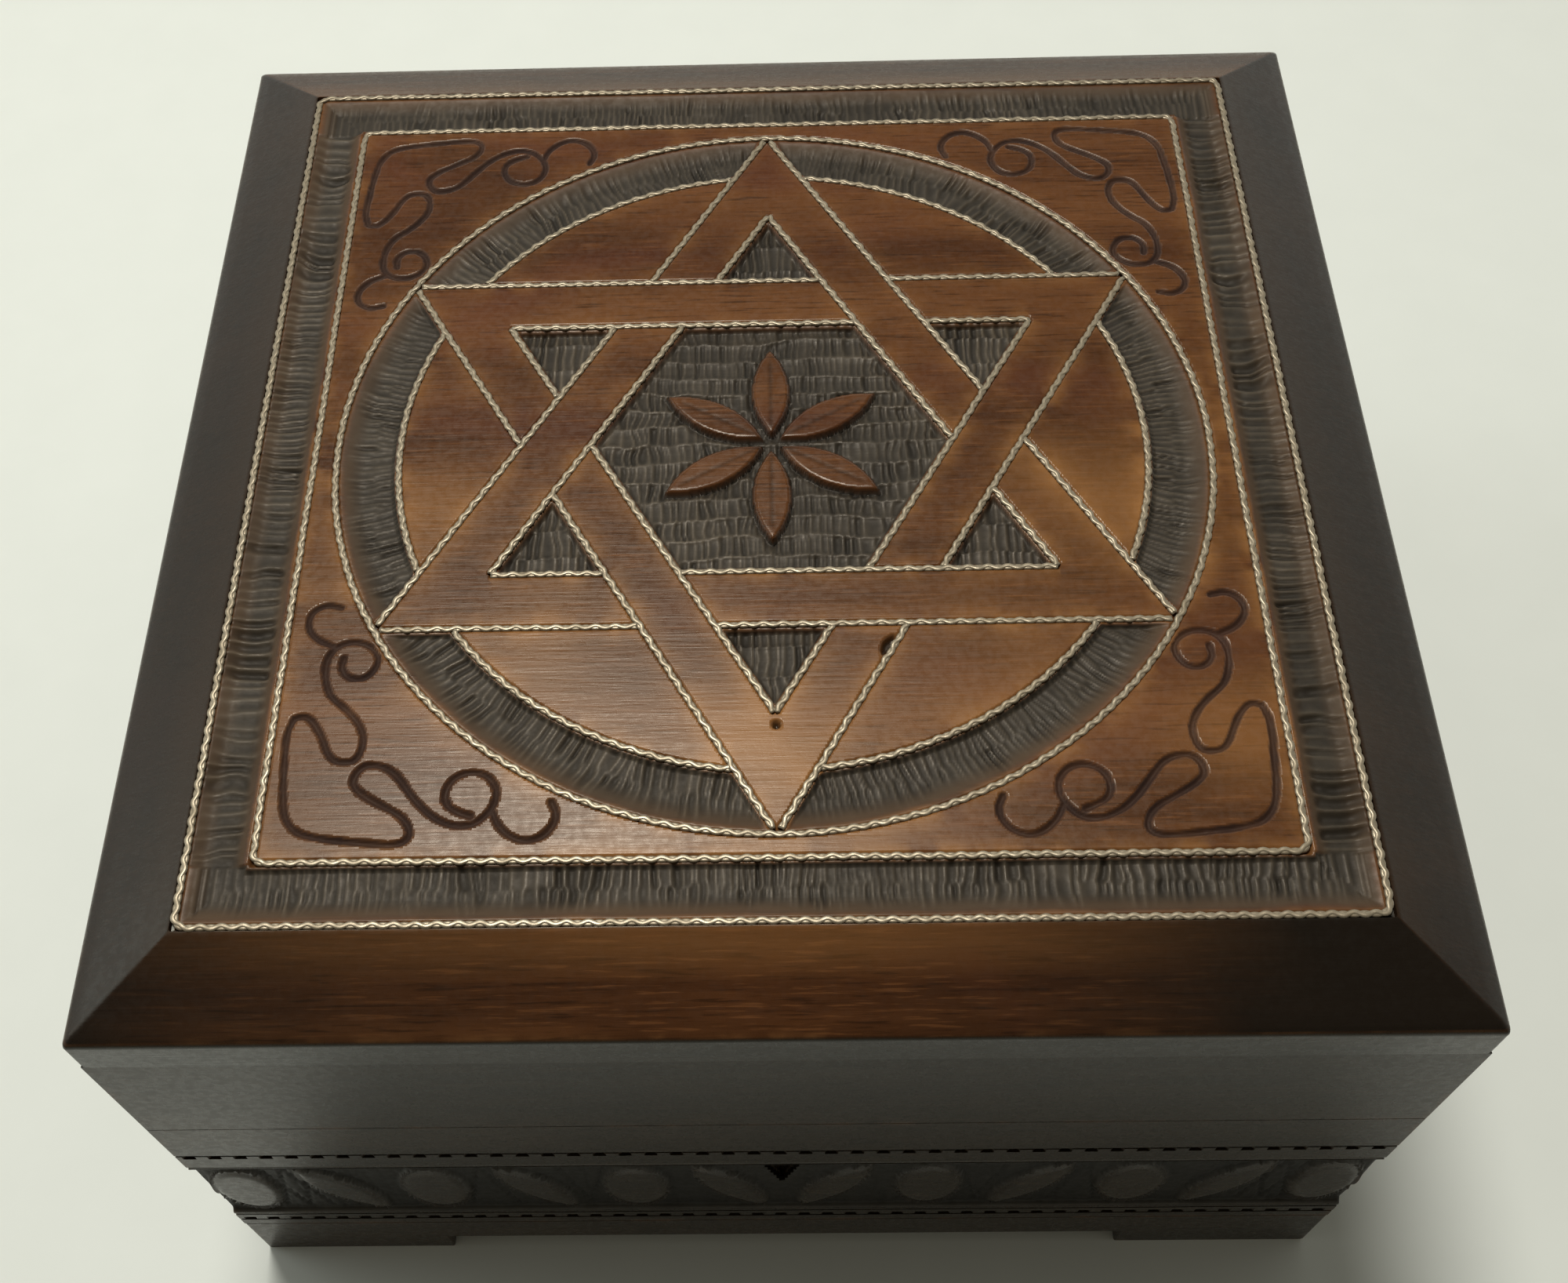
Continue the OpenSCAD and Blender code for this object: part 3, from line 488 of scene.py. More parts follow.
def lid_slab(name, reach, hollow):
    count = int(round(2 * reach / GRID))
    us = np.linspace(-reach, reach, count + 1)
    x, y = np.meshgrid(us, us)
    height, attributes = lid_field(x, y)
    mid = (us[:-1] + us[1:]) / 2
    cx, cy = np.meshgrid(mid, mid)
    cells = np.maximum(np.abs(cx), np.abs(cy)) > hollow
    return carved_slab(name, us, us, height, cells, SLAB, on_lid, "lid", attributes)


lid_centre = lid_slab("lid_carved_field", SQUARE_IN, 0)
lid_border = lid_slab("lid_carved_border", SQUARE_OUT, SQUARE_IN)


# ---------- bevelled board that the slabs sit in ----------

def square_ring(reach, corner, z, steps=5, parts=12):
    """Points of a square with rounded corners, counterclockwise from the upper end of the right side."""
    points = []
    flat = reach - corner
    for k, (sx, sy) in enumerate(((1, 1), (-1, 1), (-1, -1), (1, -1))):
        for i in range(steps + 1):
            a = math.radians(90 * k + 90 * i / steps)
            points.append((sx * flat + corner * math.cos(a), sy * flat + corner * math.sin(a), z))
        a = math.radians(90 * k + 90)
        for i in range(1, parts):
            t = flat * (1 - 2 * i / parts)
            points.append((math.cos(a) * reach + math.sin(a) * t, math.sin(a) * reach - math.cos(a) * t, z))
    return points


def board():
    edge_z = FACE_Z - BEVEL_DROP
    slope = BEVEL_DROP / (HALF - BEVEL_TOP)
    inside = 69.6
    rings = [(inside, 0.5, BOARD_Z), (inside + 0.4, 0.5, BOARD_Z), (HALF, 0.5, BOARD_Z),
             (HALF, 0.5, edge_z - 1.1), (HALF, 0.5, edge_z - 0.75), (HALF - 0.1, 0.6, edge_z - 0.3),
             (HALF - 0.42, 0.7, edge_z + 0.03)]
    for reach in (HALF - 1.0, HALF - 2.5, HALF - 6, BEVEL_TOP + 2, BEVEL_TOP + 0.6):
        share = (reach - BEVEL_TOP) / (HALF - BEVEL_TOP)
        rings.append((reach, 0.4 * share + 0.35, FACE_Z - slope * (reach - BEVEL_TOP)))
    rings += [(BEVEL_TOP + 0.2, 0.35, FACE_Z - 0.06), (BEVEL_TOP, 0.33, FACE_Z - 0.04),
              (BEVEL_TOP - 0.12, 0.3, FACE_Z - 0.7), (SQUARE_OUT, 0.05, FACE_Z - 0.75),
              (SQUARE_OUT, 0.05, FACE_Z - SLAB)]
    points = np.concatenate([square_ring(*r) for r in rings])
    n = len(points) // len(rings)
    loops, counts = [], []
    for k in range(len(rings) - 1):
        for i in range(n):
            j = (i + 1) % n
            loops += [k * n + i, k * n + j, (k + 1) * n + j, (k + 1) * n + i]
            counts.append(4)
    loops += list(range(n - 1, -1, -1)) + list(range((len(rings) - 1) * n, len(rings) * n))
    counts += [n, n]
    x, y, z = points.T
    reach = np.maximum(np.abs(x), np.abs(y))
    along = np.minimum(np.abs(x), np.abs(y)) / HALF
    front = (y < -0.999 * reach).astype(float)
    ends = np.where(x > 0, 1.9, 1.0) * front * along ** 1.6
    back = (y > 0.999 * reach).astype(float)
    # painted shade on the bevels: strong on the left and right ones, less on the back one, and on the front
    # one only towards its ends, most at the right end
    bevel_shade = np.clip(0.9 - 0.88 * front - 0.4 * back + ends, 0, 1)
    side = ((z < edge_z - 0.1) & (reach > inside + 0.2)).astype(float)
    bevel_shade[z < edge_z - 0.1] = 0.0
    # painted highlight along the top edge of the bevel, in the lid's lighter colour
    lighter_wood_and_highlight = 0.3 * (np.abs(z - FACE_Z) < 0.9) * (reach > BEVEL_TOP - 0.3)
    obj = new_piece("lid_bevelled_board", points, loops, counts, "lid",
                    attributes={"lighter_wood_and_highlight": lighter_wood_and_highlight, "bevel_shade": bevel_shade, "side": side})
    obj.data.set_sharp_from_angle(angle=math.radians(50))
    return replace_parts(obj, "lid_board")


lid_board = board()


# ---------- twisted wires ----------

LOBE = 2.5             # length of one wave of a twisted wire
# each strand's half width, reach of its wave to the side, and height of its top over the face
STRANDS = ((0.33, 0.2, 0.2), (0.33, -0.12, 0.08))
# half of the hammered strand's section: place across as a share of its half width, depth under its top
SECTION = ((0.32, 0.0), (0.72, 0.035), (0.97, 0.16), (1.0, 0.34), (0.7, 0.5))


def resampled(points, step, closed):
    p = np.array(points, float)
    if closed:
        p = np.concatenate([p, p[:1]])
    length = np.concatenate([[0], np.cumsum(np.hypot(*np.diff(p, axis=0).T))])
    count = max(4, int(round(length[-1] / step)))
    s = np.linspace(0, length[-1], count + 1)
    if closed:
        s = s[:-1]
    return np.stack([np.interp(s, length, p[:, 0]), np.interp(s, length, p[:, 1])], 1), s, length[-1]


def twisted_wire(paths, seed):
    """Points, corners and sizes of the polygons of two-strand twisted wires along flat paths."""
    random = np.random.RandomState(seed)
    sides = 2 * len(SECTION)
    points, loops, counts, shade = [], [], [], []
    start = 0
    for path, closed in paths:
        p, s, total = resampled(path, 0.27, closed)
        turns = max(1, round(total / LOBE))
        phase = 2 * math.pi * turns * s / total + random.uniform(0, 6)
        ahead = np.roll(p, -1, 0) - np.roll(p, 1, 0)
        if not closed:
            ahead[0], ahead[-1] = p[1] - p[0], p[-1] - p[-2]
        ahead /= np.hypot(*ahead.T)[:, None]
        side = np.stack([-ahead[:, 1], ahead[:, 0]], 1)
        wave = 0.05 * lattice(p[:, 0], p[:, 1], 5, seed + 3)
        lines = []
        for _, reach, top in STRANDS:
            across = reach * np.sin(phase) + wave
            over = top - 0.03 * np.cos(phase) ** 2
            lines.append(np.column_stack([p + side * across[:, None], over]))
        for k, line in enumerate(lines):
            half_width = STRANDS[k][0]
            tangent = np.roll(line, -1, 0) - np.roll(line, 1, 0)
            if not closed:
                tangent[0], tangent[-1] = line[1] - line[0], line[-1] - line[-2]
            tangent /= np.linalg.norm(tangent, axis=1)[:, None]
            right = np.stack([tangent[:, 1], -tangent[:, 0], 0 * tangent[:, 0]], 1)
            right /= np.linalg.norm(right, axis=1)[:, None]
            shape = np.array([(w * half_width, -d) for w, d in SECTION]
                             + [(-w * half_width, -d) for w, d in SECTION[::-1]])
            ring = line[:, None] + right[:, None] * shape[:, :1] + np.array([0, 0, 1.0]) * shape[:, 1:]
            # painted shade: darker down the sides of each strand, and the lower strand darker all over
            underside_shade = np.tile(np.clip((-shape[:, 1] - 0.14) / 0.25, 0, 1), len(line)) + 0.15 * k
            n = len(line)
            points.append(ring.reshape(-1, 3) + [0, 0, FACE_Z])
            shade.append(np.clip(underside_shade, 0, 1))
            rows = np.arange(n if closed else n - 1)
            i, j = np.meshgrid(rows, np.arange(sides), indexing="ij")
            i2, j2 = (i + 1) % n, (j + 1) % sides
            quad = np.stack([i * sides + j, i2 * sides + j, i2 * sides + j2, i * sides + j2], -1)
            quad = quad.reshape(-1, 4)
            loops.append(quad.ravel() + start)
            counts.append(np.full(len(quad), 4))
            if not closed:
                ends = [np.arange(sides), (n - 1) * sides + np.arange(sides)[::-1]]
                loops.append(np.concatenate(ends) + start)
                counts.append(np.array([sides, sides]))
            start += n * sides
    return np.concatenate(points), np.concatenate(loops), np.concatenate(counts), np.concatenate(shade)


def arc(radius, a0, a1, step=0.5):
    count = max(2, int(abs(math.radians(a1 - a0)) * radius / step))
    a = np.radians(np.linspace(a0, a1, count + 1))
    return np.stack([radius * np.cos(a), radius * np.sin(a)], 1)


def square_path(reach, corner=1.4):
    return np.array([p[:2] for p in square_ring(reach, corner, 0)])


def star_paths(distance, trim):
    low, high = line_gap(distance)
    end = distance * math.tan(math.radians(60)) - trim
    paths = []
    for a in BARS:
        c, s = math.cos(math.radians(a)), math.sin(math.radians(a))
        for s0, s1 in ((-end, low - 0.3), (high + 0.3, end)):
            line = np.array([(distance * c - t * s, distance * s + t * c) for t in (s0, s1)])
            paths.append((line, False))
    return paths


open_deg = math.degrees(math.acos(STAR_OUT / RING_IN))
WIRES = {
    "inlay_square_outer": [(square_path(SQUARE_OUT), True)],
    "inlay_square_inner": [(square_path(SQUARE_IN), True)],
    "inlay_ring_outer": [(arc(RING_OUT, 0, 359.5), True)],
    "inlay_ring_inner": [(arc(RING_IN, a + 60 - open_deg + 0.5, a + open_deg - 0.5), False) for a in BARS],
    "inlay_star_outline": star_paths(STAR_OUT, 0.9),
    "inlay_star_inner": star_paths(STAR_IN, 0.2),
}
wires = []
for number, (node, paths) in enumerate(WIRES.items()):
    points, loops, counts, shade = twisted_wire(paths, 71 + number)
    wire = new_piece("twisted_" + node, points, loops, counts, "lid",
                     attributes={"underside_shade": shade})
    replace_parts(wire, node)
    wires.append(wire)


# ---------- carved frieze ----------

OVALS = (21, 50, 77.3)             # middles of the motifs, from the middle of a side
LEAVES = (7.5, 35.5, 63.5)
THIN_LEAVES = ((28.3, 1), (42.6, -1), (70.4, 1), (70.4, -1))     # 1 opens upwards, -1 downwards


def frieze_field(u, z):
    """Height of the frieze on one side: ovals and slanting leaves in front of a gouged ground."""
    x = np.abs(u)
    w = z - (FRIEZE_Z[0] + FRIEZE_Z[1]) / 2
    raised = np.full(u.shape, -9.0)
    crown = np.zeros_like(u)
    for cx in OVALS:
        q = np.sqrt(((x - cx) / OVAL_HALF_WIDTH) ** 2 + (w / OVAL_HALF_HEIGHT) ** 2)
        inside = (1 - q) * OVAL_HALF_WIDTH
        crown = np.where(inside > raised, np.clip(1 - q, 0, 1), crown)
        raised = np.maximum(raised, inside)
    for cx in LEAVES:
        inside, across, _ = lens(x, w, cx, 0, LEAF_ANGLE, LEAF_LENGTH, LEAF_WIDTH)
        crown = np.where(inside > raised, np.clip(1 - np.abs(across) / (LEAF_WIDTH / 2), 0, 1), crown)
        raised = np.maximum(raised, inside)
    lines = []
    for cx, lean in THIN_LEAVES:
        for side in (-1, 1):
            bottom, top = (cx, cx + side * 3.4) if lean > 0 else (cx + side * 3.4, cx)
            lines.append([(bottom, -10), (top, 10)])
    thin = line_distance(x, w, lines)
    a, deep = strokes(u + 0.3 * lattice(u, z, 2.2, 81), 1.1, 82)
    edge = soft(11.6, 10.6, np.abs(w))
    ground = edge * soft(0, 0.45, -raised)
    height = -ground * (0.72 + 0.28 * deep * (1 - a))
    groove = np.clip(1 - thin / 0.7, 0, 1) * edge * (raised < 0)
    height = np.minimum(height, -1.25 * groove)
    on = raised > 0
    height = np.where(on, -0.4 * (1 - soft(0, 1.1, raised)) - 0.05 + 0.05 * crown, height)
    # dirt with painted shade in the ground and the grooves, and at the edges of the raised motifs
    dirt_and_shade = np.maximum(ground * (0.5 + 0.5 * deep * (1 - a)), groove)
    dirt_and_shade = np.where(on, 0.6 * (1 - soft(0, 0.5, raised)), dirt_and_shade)
    ridge = np.where(on, soft(0.1, 0.8, raised) * 0.5, 0)
    height = np.where(np.abs(w) > 11.5, 0, height)
    return height, {"carve": np.where(on, 0, ground), "ridge": ridge, "dirt_and_shade": np.clip(dirt_and_shade, 0, 1)}


def frieze(name, angle, reach, body, notch=None):
    c, s = math.cos(math.radians(angle)), math.sin(math.radians(angle))
    us = np.linspace(-reach, reach, int(round(2 * reach / FRIEZE_GRID)) + 1)
    vs = np.linspace(*FRIEZE_Z, int(round((FRIEZE_Z[1] - FRIEZE_Z[0]) / FRIEZE_GRID)) + 1)
    u, z = np.meshgrid(us, vs)
    height, attributes = frieze_field(u * HALF / reach, z)
    mid_u, mid_z = np.meshgrid((us[:-1] + us[1:]) / 2, (vs[:-1] + vs[1:]) / 2)
    cells = np.ones_like(mid_u, bool)
    if notch:
        width, top, low = notch
        half_width = width / 2 * np.clip((mid_z - low) / (top - low), 0, 1)
        cells = ~((np.abs(mid_u) < half_width) & (mid_z < top) & (mid_z > low))

    def place(a, b, h):
        out = HALF + h
        return np.stack([a * c + out * s, a * s - out * c, b], 1)

    return carved_slab(name, us, vs, height, cells, FRIEZE_DEPTH, place, body, attributes)


SIDE_REACH = 69.5      # half length of the friezes on the left and right sides
friezes = {
    "x": [frieze("frieze_front", 0, HALF, "panel", NOTCH),
          frieze("frieze_back", 180, HALF, "box")],
    "y": [frieze("frieze_right", 90, SIDE_REACH, "box"),
          frieze("frieze_left", 270, SIDE_REACH, "box")],
}


# ---------- materials ----------

class Shader:
    """Small helper that adds and joins nodes."""

    def __init__(self, name):
        self.material = bpy.data.materials.new(name)
        self.material.use_nodes = True
        self.tree = self.material.node_tree
        self.bsdf = self.tree.nodes["Principled BSDF"]
        self.object = self.add("ShaderNodeTexCoord").outputs["Object"]

    def add(self, kind, inputs=None, **settings):
        node = self.tree.nodes.new(kind)
        for key, value in settings.items():
            setattr(node, key, value)
        for key, value in (inputs or {}).items():
            if isinstance(value, bpy.types.NodeSocket):
                self.tree.links.new(value, node.inputs[key])
            else:
                node.inputs[key].default_value = value
        return node

    def math(self, operation, a, b=0.0, clamp=False):
        return self.add("ShaderNodeMath", {0: a, 1: b}, operation=operation, use_clamp=clamp).outputs[0]

    def attribute(self, name):
        return self.add("ShaderNodeAttribute", attribute_name=name).outputs["Fac"]

    def noise(self, scale, stretch=(1, 1, 1), detail=4.0, rough=0.6, distort=0.0, offset=(0, 0, 0)):
        place = self.add("ShaderNodeMapping", {0: self.object, "Scale": tuple(scale * s for s in stretch),
                                               "Location": offset}).outputs[0]
        return self.add("ShaderNodeTexNoise", {"Vector": place, "Scale": 1.0, "Detail": detail,
                                               "Roughness": rough, "Distortion": distort}).outputs["Fac"]

    def ramp(self, value, low, high, to_low=0.0, to_high=1.0):
        return self.add("ShaderNodeMapRange", {0: value, 1: low, 2: high, 3: to_low, 4: to_high},
                        interpolation_type="SMOOTHSTEP").outputs[0]

    def mix(self, factor, a, b, blend="MIX"):
        node = self.add("ShaderNodeMix", {0: factor}, data_type="RGBA", blend_type=blend)
        for socket, value in ((node.inputs[6], a), (node.inputs[7], b)):
            if isinstance(value, bpy.types.NodeSocket):
                self.tree.links.new(value, socket)
            else:
                socket.default_value = (*value, 1)
        return node.outputs[2]

    def bump(self, height, strength, distance, normal=None):
        inputs = {"Height": height, "Strength": strength, "Distance": distance}
        if normal is not None:
            inputs["Normal"] = normal
        return self.add("ShaderNodeBump", inputs).outputs[0]

    def set(self, **inputs):
        names = {"color": "Base Color", "roughness": "Roughness", "metallic": "Metallic",
                 "normal": "Normal", "specular": "Specular IOR Level", "tint": "Specular Tint"}
        for key, value in inputs.items():
            socket = self.bsdf.inputs[names[key]]
            if isinstance(value, bpy.types.NodeSocket):
                self.tree.links.new(value, socket)
            elif isinstance(value, tuple):
                socket.default_value = (*value, 1)
            else:
                socket.default_value = value
        return self.material


EDGE_HEIGHTS = (0.0, 15.0, 63.1, 95.0)     # heights of the worn edges round the box
BARE = (0.0700, 0.0698)                    # bare wood starts between these distances, in metres
BEVEL_SHADE_COLOR = (0.010, 0.007, 0.005)              # nearly black painted shade of the bevels
BROWN_GROUND = (0.075, 0.042, 0.020)       # brown slopes of the gouged bands
GROOVE = (0.016, 0.007, 0.006)             # dark stain with painted shade at the bottom of the scrolls
WIRE_SHADE = (0.10, 0.065, 0.035)          # painted shade on the lower sides of the wires


def scaled(color, factor):
    return tuple(c * factor for c in color)


def worn_edges(s, xyz):
    """Mask of the outer edges of the box, where the wood is rubbed light in patches."""
    def close(socket, value, width):
        d = s.math("ABSOLUTE", s.math("SUBTRACT", s.math("ABSOLUTE", socket), value))
        return s.ramp(d, 0.0, width, 1.0, 0.0)
    near_x, near_y = close(xyz[0], HALF * MM, 0.0013), close(xyz[1], HALF * MM, 0.0013)
    level = None
    for z in EDGE_HEIGHTS:
        at = close(xyz[2], z * MM, 0.0011)
        level = at if level is None else s.math("MAXIMUM", level, at)
    edge = s.math("MAXIMUM", s.math("MULTIPLY", near_x, near_y),
                  s.math("MULTIPLY", s.math("MAXIMUM", near_x, near_y), level))
    patchy = s.ramp(s.noise(160, (1, 1, 1), 3, 0.6, 0, (2, 7, 1)), 0.42, 0.68)
    return s.math("MULTIPLY", s.math("MULTIPLY", edge, patchy), 0.55)


def bare_inside(s, color, xyz, grain, pores, dark, light):
    """Bare wood on the faces inside the box."""
    in_x = s.ramp(s.math("ABSOLUTE", xyz[0]), *BARE)
    in_y = s.ramp(s.math("ABSOLUTE", xyz[1]), *BARE)
    pale = s.mix(s.ramp(grain, 0.3, 0.72), dark, light)
    pale = s.mix(s.math("MULTIPLY", s.ramp(pores, 0.56, 0.72), 0.5), pale, scaled(dark, 0.5))
    return s.mix(s.math("MULTIPLY", in_x, in_y), color, pale)


def carved_finish(s, color, low, blotch, ground):
    """Dark ground, rubbed ridges with a painted highlight, valleys darkened by dirt and painted shade, and
    scrolls darkened by stain and painted shade. Returns the colour and how dull it is.
    """
    carve, ridge, groove = s.attribute("carve"), s.attribute("ridge"), s.attribute("groove")
    color = s.mix(carve, color, low)
    # painted highlight with rubbed wood on the ridges of the gouged ground
    crest = s.math("MULTIPLY", s.math("MULTIPLY", ridge, carve), s.ramp(blotch, 0.3, 0.65, 0.25, 0.8))
    color = s.mix(crest, color, scaled(ground, 8.0))
    # dirt with painted shade in the valleys
    color = s.mix(s.math("MULTIPLY", s.attribute("dirt_and_shade"), 0.92), color, scaled(ground, 0.3))
    # dark stain with painted shade in the scroll grooves
    color = s.mix(s.math("MULTIPLY", groove, 0.92), color, GROOVE)
    valley = s.math("MULTIPLY", carve, s.math("SUBTRACT", 1.0, s.math("MULTIPLY", ridge, 0.75)))
    return color, s.math("MAXIMUM", valley, s.math("MULTIPLY", groove, 1.6))


def wood(name, axis, dark, mid, light, ground, rubbed, lighter_wood_and_highlight=None, reddish=None, inside=None, wear=True,
         roughness=0.28, specular=0.45, tint=(0.54, 0.50, 0.45), relief=1.0):
    """Stained and varnished wood with its grain along the axis. inside holds the dark and the light colour of
    the bare inner faces, and the lighter colour of the carved lid serves both its rubbed patches and its
    painted highlights."""
    s = Shader(name)
    along = {"x": (0.06, 1, 1), "y": (1, 0.06, 1), "z": (1, 1, 0.06)}[axis]
    grain = s.noise(420, along, 6, 0.68, 0.25)
    bands = s.noise(46, along, 3, 0.5, 0.6, (1.3, 0.4, 0.2))
    pores = s.noise(2300, along, 3, 0.55)
    blotch = s.noise(28, (1, 1, 1), 3, 0.55, 0.4, (4.1, 2.2, 0.9))
    fine = s.noise(900, (1, 1, 1), 3, 0.6)
    color = s.mix(s.ramp(grain, 0.3, 0.7), dark, mid)
    color = s.mix(s.ramp(bands, 0.42, 0.72), color, light)
    color = s.mix(s.math("MULTIPLY", s.ramp(blotch, 0.48, 0.68), 0.6), color, dark)
    color = s.mix(s.math("MULTIPLY", s.ramp(pores, 0.54, 0.68), 0.6), color, scaled(dark, 0.35))
    color = s.mix(s.math("MULTIPLY", s.ramp(pores, 0.44, 0.32), 0.35), color, scaled(light, 1.5))
    if reddish:
        patch = s.noise(38, (0.5, 1, 1), 3, 0.55, 0.5, (7.3, 1.1, 2.0))
        color = s.mix(s.math("MULTIPLY", s.ramp(patch, 0.5, 0.72), 0.5), color, reddish)
    if lighter_wood_and_highlight:
        # lighter, rubbed wood and painted highlights on the lid and on the board's top edge
        amount = s.math("MULTIPLY", s.attribute("lighter_wood_and_highlight"), s.ramp(blotch, 0.2, 0.6, 0.55, 1.0))
        color = s.mix(amount, color, lighter_wood_and_highlight)
    xyz = s.add("ShaderNodeSeparateXYZ", {0: s.object}).outputs
    if wear:
        color = s.mix(worn_edges(s, xyz), color, rubbed)
    if inside:
        color = bare_inside(s, color, xyz, grain, pores, *inside)
    low = s.mix(s.ramp(s.noise(240, (1, 1, 1), 4, 0.6), 0.35, 0.7), ground, scaled(ground, 2.2))
    if lighter_wood_and_highlight:
        # painted shade on the bevels of the lid board
        color = s.mix(s.attribute("bevel_shade"), color, BEVEL_SHADE_COLOR)
        color = s.mix(s.attribute("side"), color, s.mix(s.ramp(grain, 0.3, 0.7), DARK["dark"], DARK["mid"]))
        low = s.mix(s.math("MULTIPLY", s.attribute("brown"), 0.85), low, BROWN_GROUND)
    color, dull = carved_finish(s, color, low, blotch, ground)
    rough = s.math("ADD", s.ramp(fine, 0.3, 0.7, roughness - 0.05, roughness + 0.06),
                   s.math("MULTIPLY", dull, 0.3))
    normal = s.bump(pores, 0.2 * relief, 0.0001)
    normal = s.bump(grain, 0.25 * relief, 0.00016, normal)
    normal = s.bump(fine, 0.10 * relief, 0.00008, normal)
    return s.set(color=color, roughness=rough, normal=normal, specular=specular, tint=tint)


def metal(name, bright, dull, roughness, underside_shade=False, metallic=1.0):
    s = Shader(name)
    cloud = s.noise(420, (1, 1, 1), 5, 0.6, 0.3)
    speck = s.noise(2600, (1, 1, 1), 3, 0.6)
    scratch = s.noise(1400, (0.05, 1, 0.4), 3, 0.6, 0.0, (3, 1, 5))
    tarnish = s.ramp(cloud, 0.45, 0.75)
    color = s.mix(tarnish, bright, dull)
    color = s.mix(s.math("MULTIPLY", s.ramp(scratch, 0.6, 0.72), 0.3), color, scaled(bright, 1.15))
    if underside_shade:
        # painted shade on the lower sides of the wires
        color = s.mix(s.math("MULTIPLY", s.attribute("underside_shade"), 0.7), color, WIRE_SHADE)
    rough = s.math("ADD", s.ramp(cloud, 0.3, 0.8, roughness, roughness + 0.2),
                   s.ramp(speck, 0.3, 0.8, 0, 0.06))
    normal = s.bump(speck, 0.2, 0.00003)
    normal = s.bump(scratch, 0.15, 0.00004, normal)
    return s.set(color=color, metallic=metallic, roughness=rough, normal=normal)


# the lid's lighter colour is used for rubbed wood and for painted highlights
LID = dict(dark=(0.040, 0.014, 0.005), mid=(0.074, 0.027, 0.009), light=(0.118, 0.047, 0.016),
           ground=(0.015, 0.012, 0.0085), rubbed=(0.20, 0.09, 0.032), lighter_wood_and_highlight=(0.26, 0.12, 0.038),
           reddish=(0.085, 0.026, 0.014))
DARK = dict(dark=(0.014, 0.009, 0.005), mid=(0.024, 0.015, 0.008), light=(0.034, 0.021, 0.011),
            ground=(0.008, 0.006, 0.004), rubbed=(0.10, 0.047, 0.019), specular=0.22,
            tint=(1.0, 0.94, 0.82), relief=0.35)
PALE = ((0.27, 0.15, 0.072), (0.40, 0.245, 0.125))
lid_face = wood("lid_face_wood", "x", **LID)
board_wood = wood("lid_edge_wood", "x", inside=PALE, **{**LID, "tint": (0.46, 0.48, 0.43)})
dark_x = wood("stained_wood_x", "x", inside=PALE, **DARK)
dark_y = wood("stained_wood_y", "y", inside=PALE, **DARK)
pale_wood = wood("pale_wood", "x", dark=PALE[0], mid=(0.34, 0.2, 0.1), light=PALE[1],
                 ground=(0.1, 0.06, 0.03), rubbed=(0.4, 0.25, 0.12), wear=False, roughness=0.42)
inlay = metal("inlay_brass", (0.27, 0.23, 0.165), (0.20, 0.165, 0.11), 0.3, underside_shade=True, metallic=0.5)
brass = metal("hardware_brass", (0.74, 0.55, 0.25), (0.42, 0.29, 0.12), 0.24)
steel = metal("key_steel", (0.56, 0.56, 0.55), (0.34, 0.33, 0.31), 0.26)


def paint(obj, material):
    obj.data.materials.clear()
    obj.data.materials.append(material)


for obj in (lid_centre, lid_border):
    paint(obj, lid_face)
paint(lid_board, board_wood)
for obj in wires:
    paint(obj, inlay)
for obj in friezes["x"]:
    paint(obj, dark_x)
for obj in friezes["y"]:
    paint(obj, dark_y)
for node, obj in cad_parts.items():
    if node.startswith(("wall_", "base_strip", "lid_wall", "front_panel")):
        paint(obj, dark_y if node.endswith(("left", "right")) else dark_x)
    elif node in ("bottom_panel", "panel_stop_peg", "strip_stop_peg"):
        paint(obj, pale_wood)
    elif node == "lid_board":
        paint(obj, lid_face)
    elif node.startswith("inlay"):
        paint(obj, inlay)
    elif node in ("key", "lock_bolt", "lock_guide_studs", "lock_key_post", "lock_spring") or "pin" in node:
        paint(obj, steel)
    else:
        paint(obj, brass)

# the wooden CAD pieces without chips get softened edges
for node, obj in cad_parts.items():
    if node.startswith(("base_strip", "lid_wall", "front_panel")):
        weld = obj.modifiers.new("weld", "WELD")
        weld.merge_threshold = 0.00001
        bevel = obj.modifiers.new("soft_edges", "BEVEL")
        bevel.width = 0.0003
        bevel.segments = 2
        bevel.limit_method = "ANGLE"
        bevel.angle_limit = math.radians(50)


# ---------- floor, light and camera ----------

FLOOR_HALF = 8.0       # metres
corners = [(x * FLOOR_HALF, y * FLOOR_HALF, 0) for x, y in ((-1, -1), (1, -1), (1, 1), (-1, 1))]
floor_mesh = bpy.data.meshes.new("floor")
floor_mesh.from_pydata(corners, [], [(0, 1, 2, 3)])
floor = bpy.data.objects.new("floor", floor_mesh)
bpy.context.scene.collection.objects.link(floor)
paper = Shader("floor_paper")
fibre = paper.noise(60, (1, 1, 1), 4, 0.6)
paint(floor, paper.set(color=paper.mix(fibre, (0.68, 0.72, 0.69), (0.72, 0.76, 0.73)), roughness=0.75,
                       normal=paper.bump(paper.noise(900), 0.05, 0.0001)))

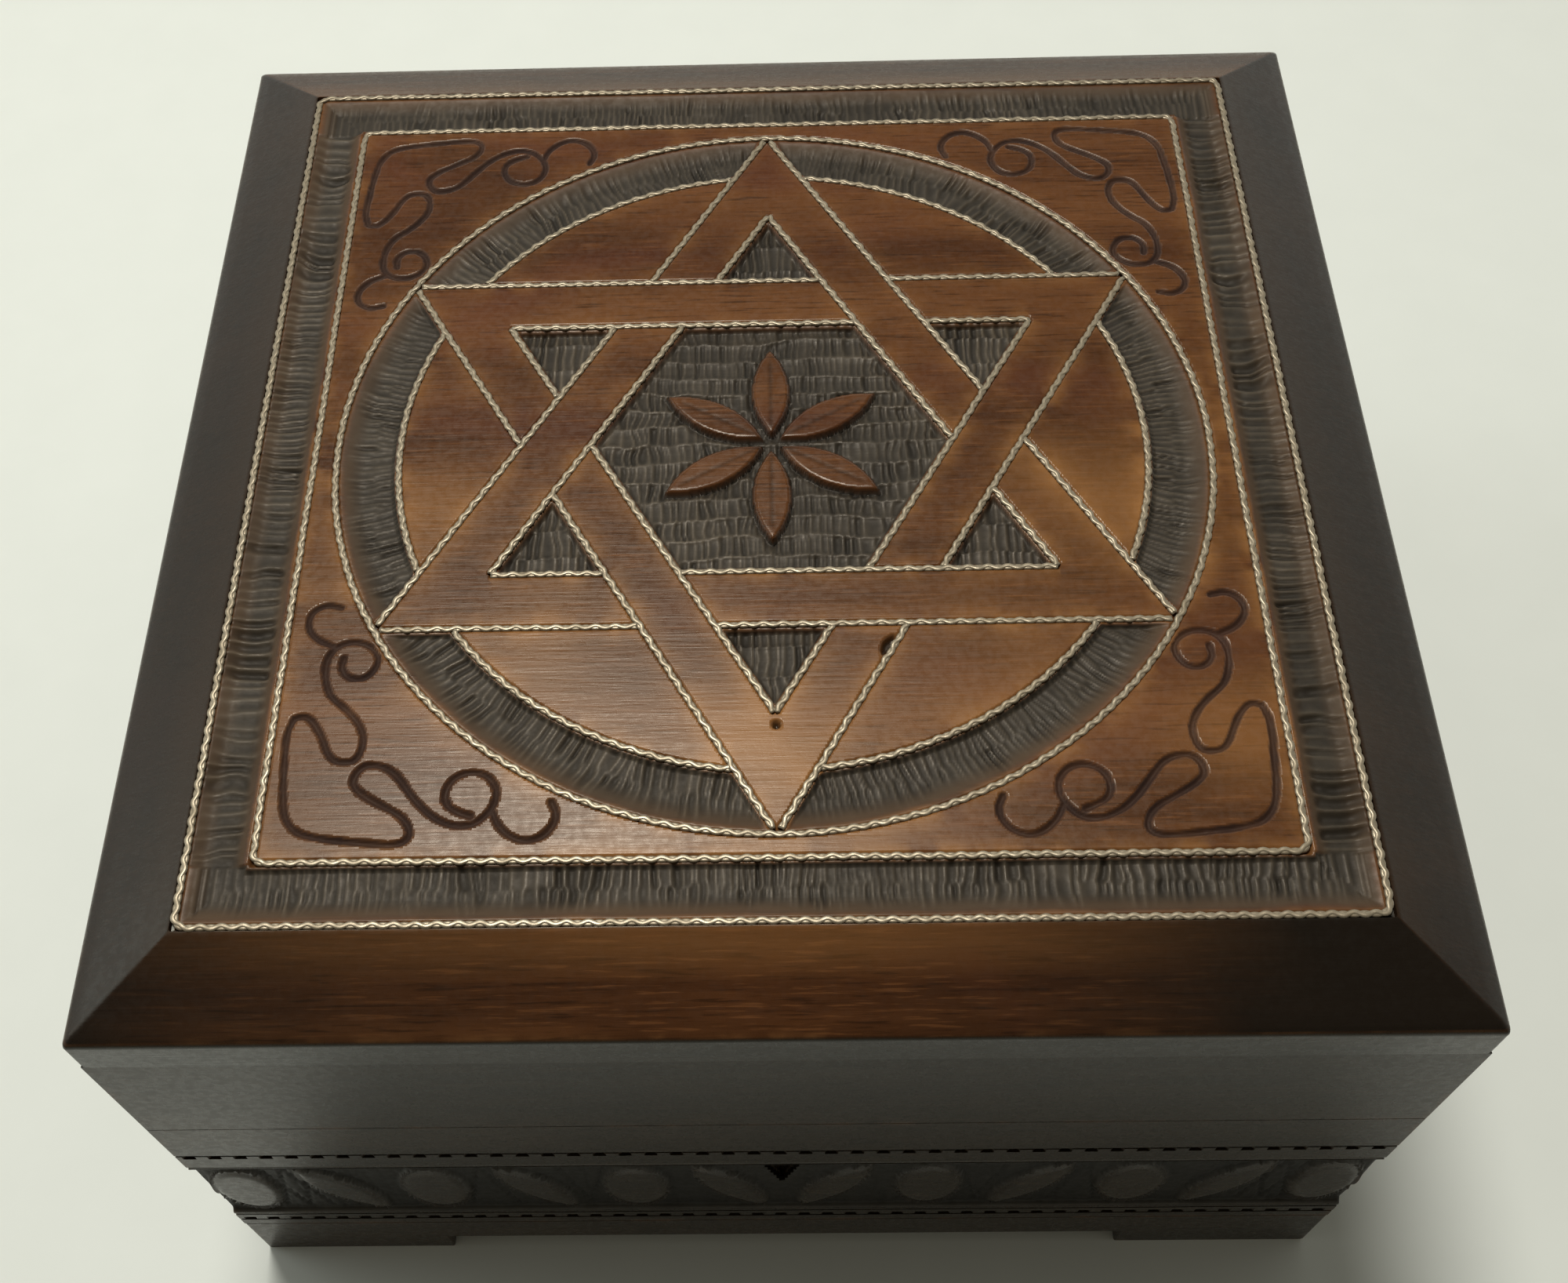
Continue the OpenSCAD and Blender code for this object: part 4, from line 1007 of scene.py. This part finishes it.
# a pale studio that darkens towards the front and overhead
world = bpy.data.worlds.new("studio")
bpy.context.scene.world = world
world.use_nodes = True
tree = world.node_tree
background = tree.nodes["Background"]
coord = tree.nodes.new("ShaderNodeTexCoord")
split = tree.nodes.new("ShaderNodeSeparateXYZ")
tree.links.new(coord.outputs["Generated"], split.inputs[0])
shares = []
for axis, low, high in ((1, -0.75, 0.25), (2, 0.62, 0.36)):
    share = tree.nodes.new("ShaderNodeMapRange")
    share.interpolation_type = "SMOOTHSTEP"
    share.inputs[1].default_value = low
    share.inputs[2].default_value = high
    tree.links.new(split.outputs[axis], share.inputs[0])
    shares.append(share)
both = tree.nodes.new("ShaderNodeMath")
both.operation = "MULTIPLY"
tree.links.new(shares[0].outputs[0], both.inputs[0])
tree.links.new(shares[1].outputs[0], both.inputs[1])
blend = tree.nodes.new("ShaderNodeMix")
blend.data_type = "RGBA"
blend.inputs[6].default_value = (0.115, 0.10, 0.074, 1)
blend.inputs[7].default_value = (0.78, 0.81, 0.76, 1)
tree.links.new(both.outputs[0], blend.inputs[0])
tree.links.new(blend.outputs[2], background.inputs["Color"])
background.inputs["Strength"].default_value = 1.0


def area_light(name, place, aim, size, power, color):
    data = bpy.data.lights.new(name, "AREA")
    data.shape = "DISK"
    data.size = size
    data.energy = power
    data.color = color
    obj = bpy.data.objects.new(name, data)
    obj.location = place
    obj.rotation_euler = (Vector(aim) - Vector(place)).to_track_quat("-Z", "Y").to_euler()
    bpy.context.scene.collection.objects.link(obj)


area_light("key_light", (-0.14, 0.28, 1.1), (0, 0, 0.1), 0.34, 11.0, (1.0, 0.96, 0.88))
area_light("fill_light", (-1.0, 0.2, 0.8), (0, 0, 0.05), 0.7, 2.2, (0.95, 1.0, 0.97))

# The lens and the view come from fitting the box's corners
EYE = Vector((0, -0.15037, 0.28667))
VIEW = Vector((-0.02124, 0.51989, -0.85397)).normalized()
ROLL = math.radians(-2.839)
camera_data = bpy.data.cameras.new("camera")
camera_data.sensor_width = 36
camera_data.lens = 40.25
camera_data.shift_x = 0.02967
camera_data.shift_y = 0.02026
camera_data.clip_start = 0.01
camera = bpy.data.objects.new("camera", camera_data)
bpy.context.scene.collection.objects.link(camera)
right = VIEW.cross(Vector((0, 0, 1))).normalized()
upward = right.cross(VIEW)
rolled_right = right * math.cos(ROLL) + upward * math.sin(ROLL)
rolled_upward = upward * math.cos(ROLL) - right * math.sin(ROLL)
pose = Matrix((rolled_right, rolled_upward, -VIEW)).transposed().to_4x4()
pose.translation = EYE
camera.matrix_world = pose
bpy.context.scene.camera = camera
bpy.context.scene.view_settings.view_transform = "Standard"
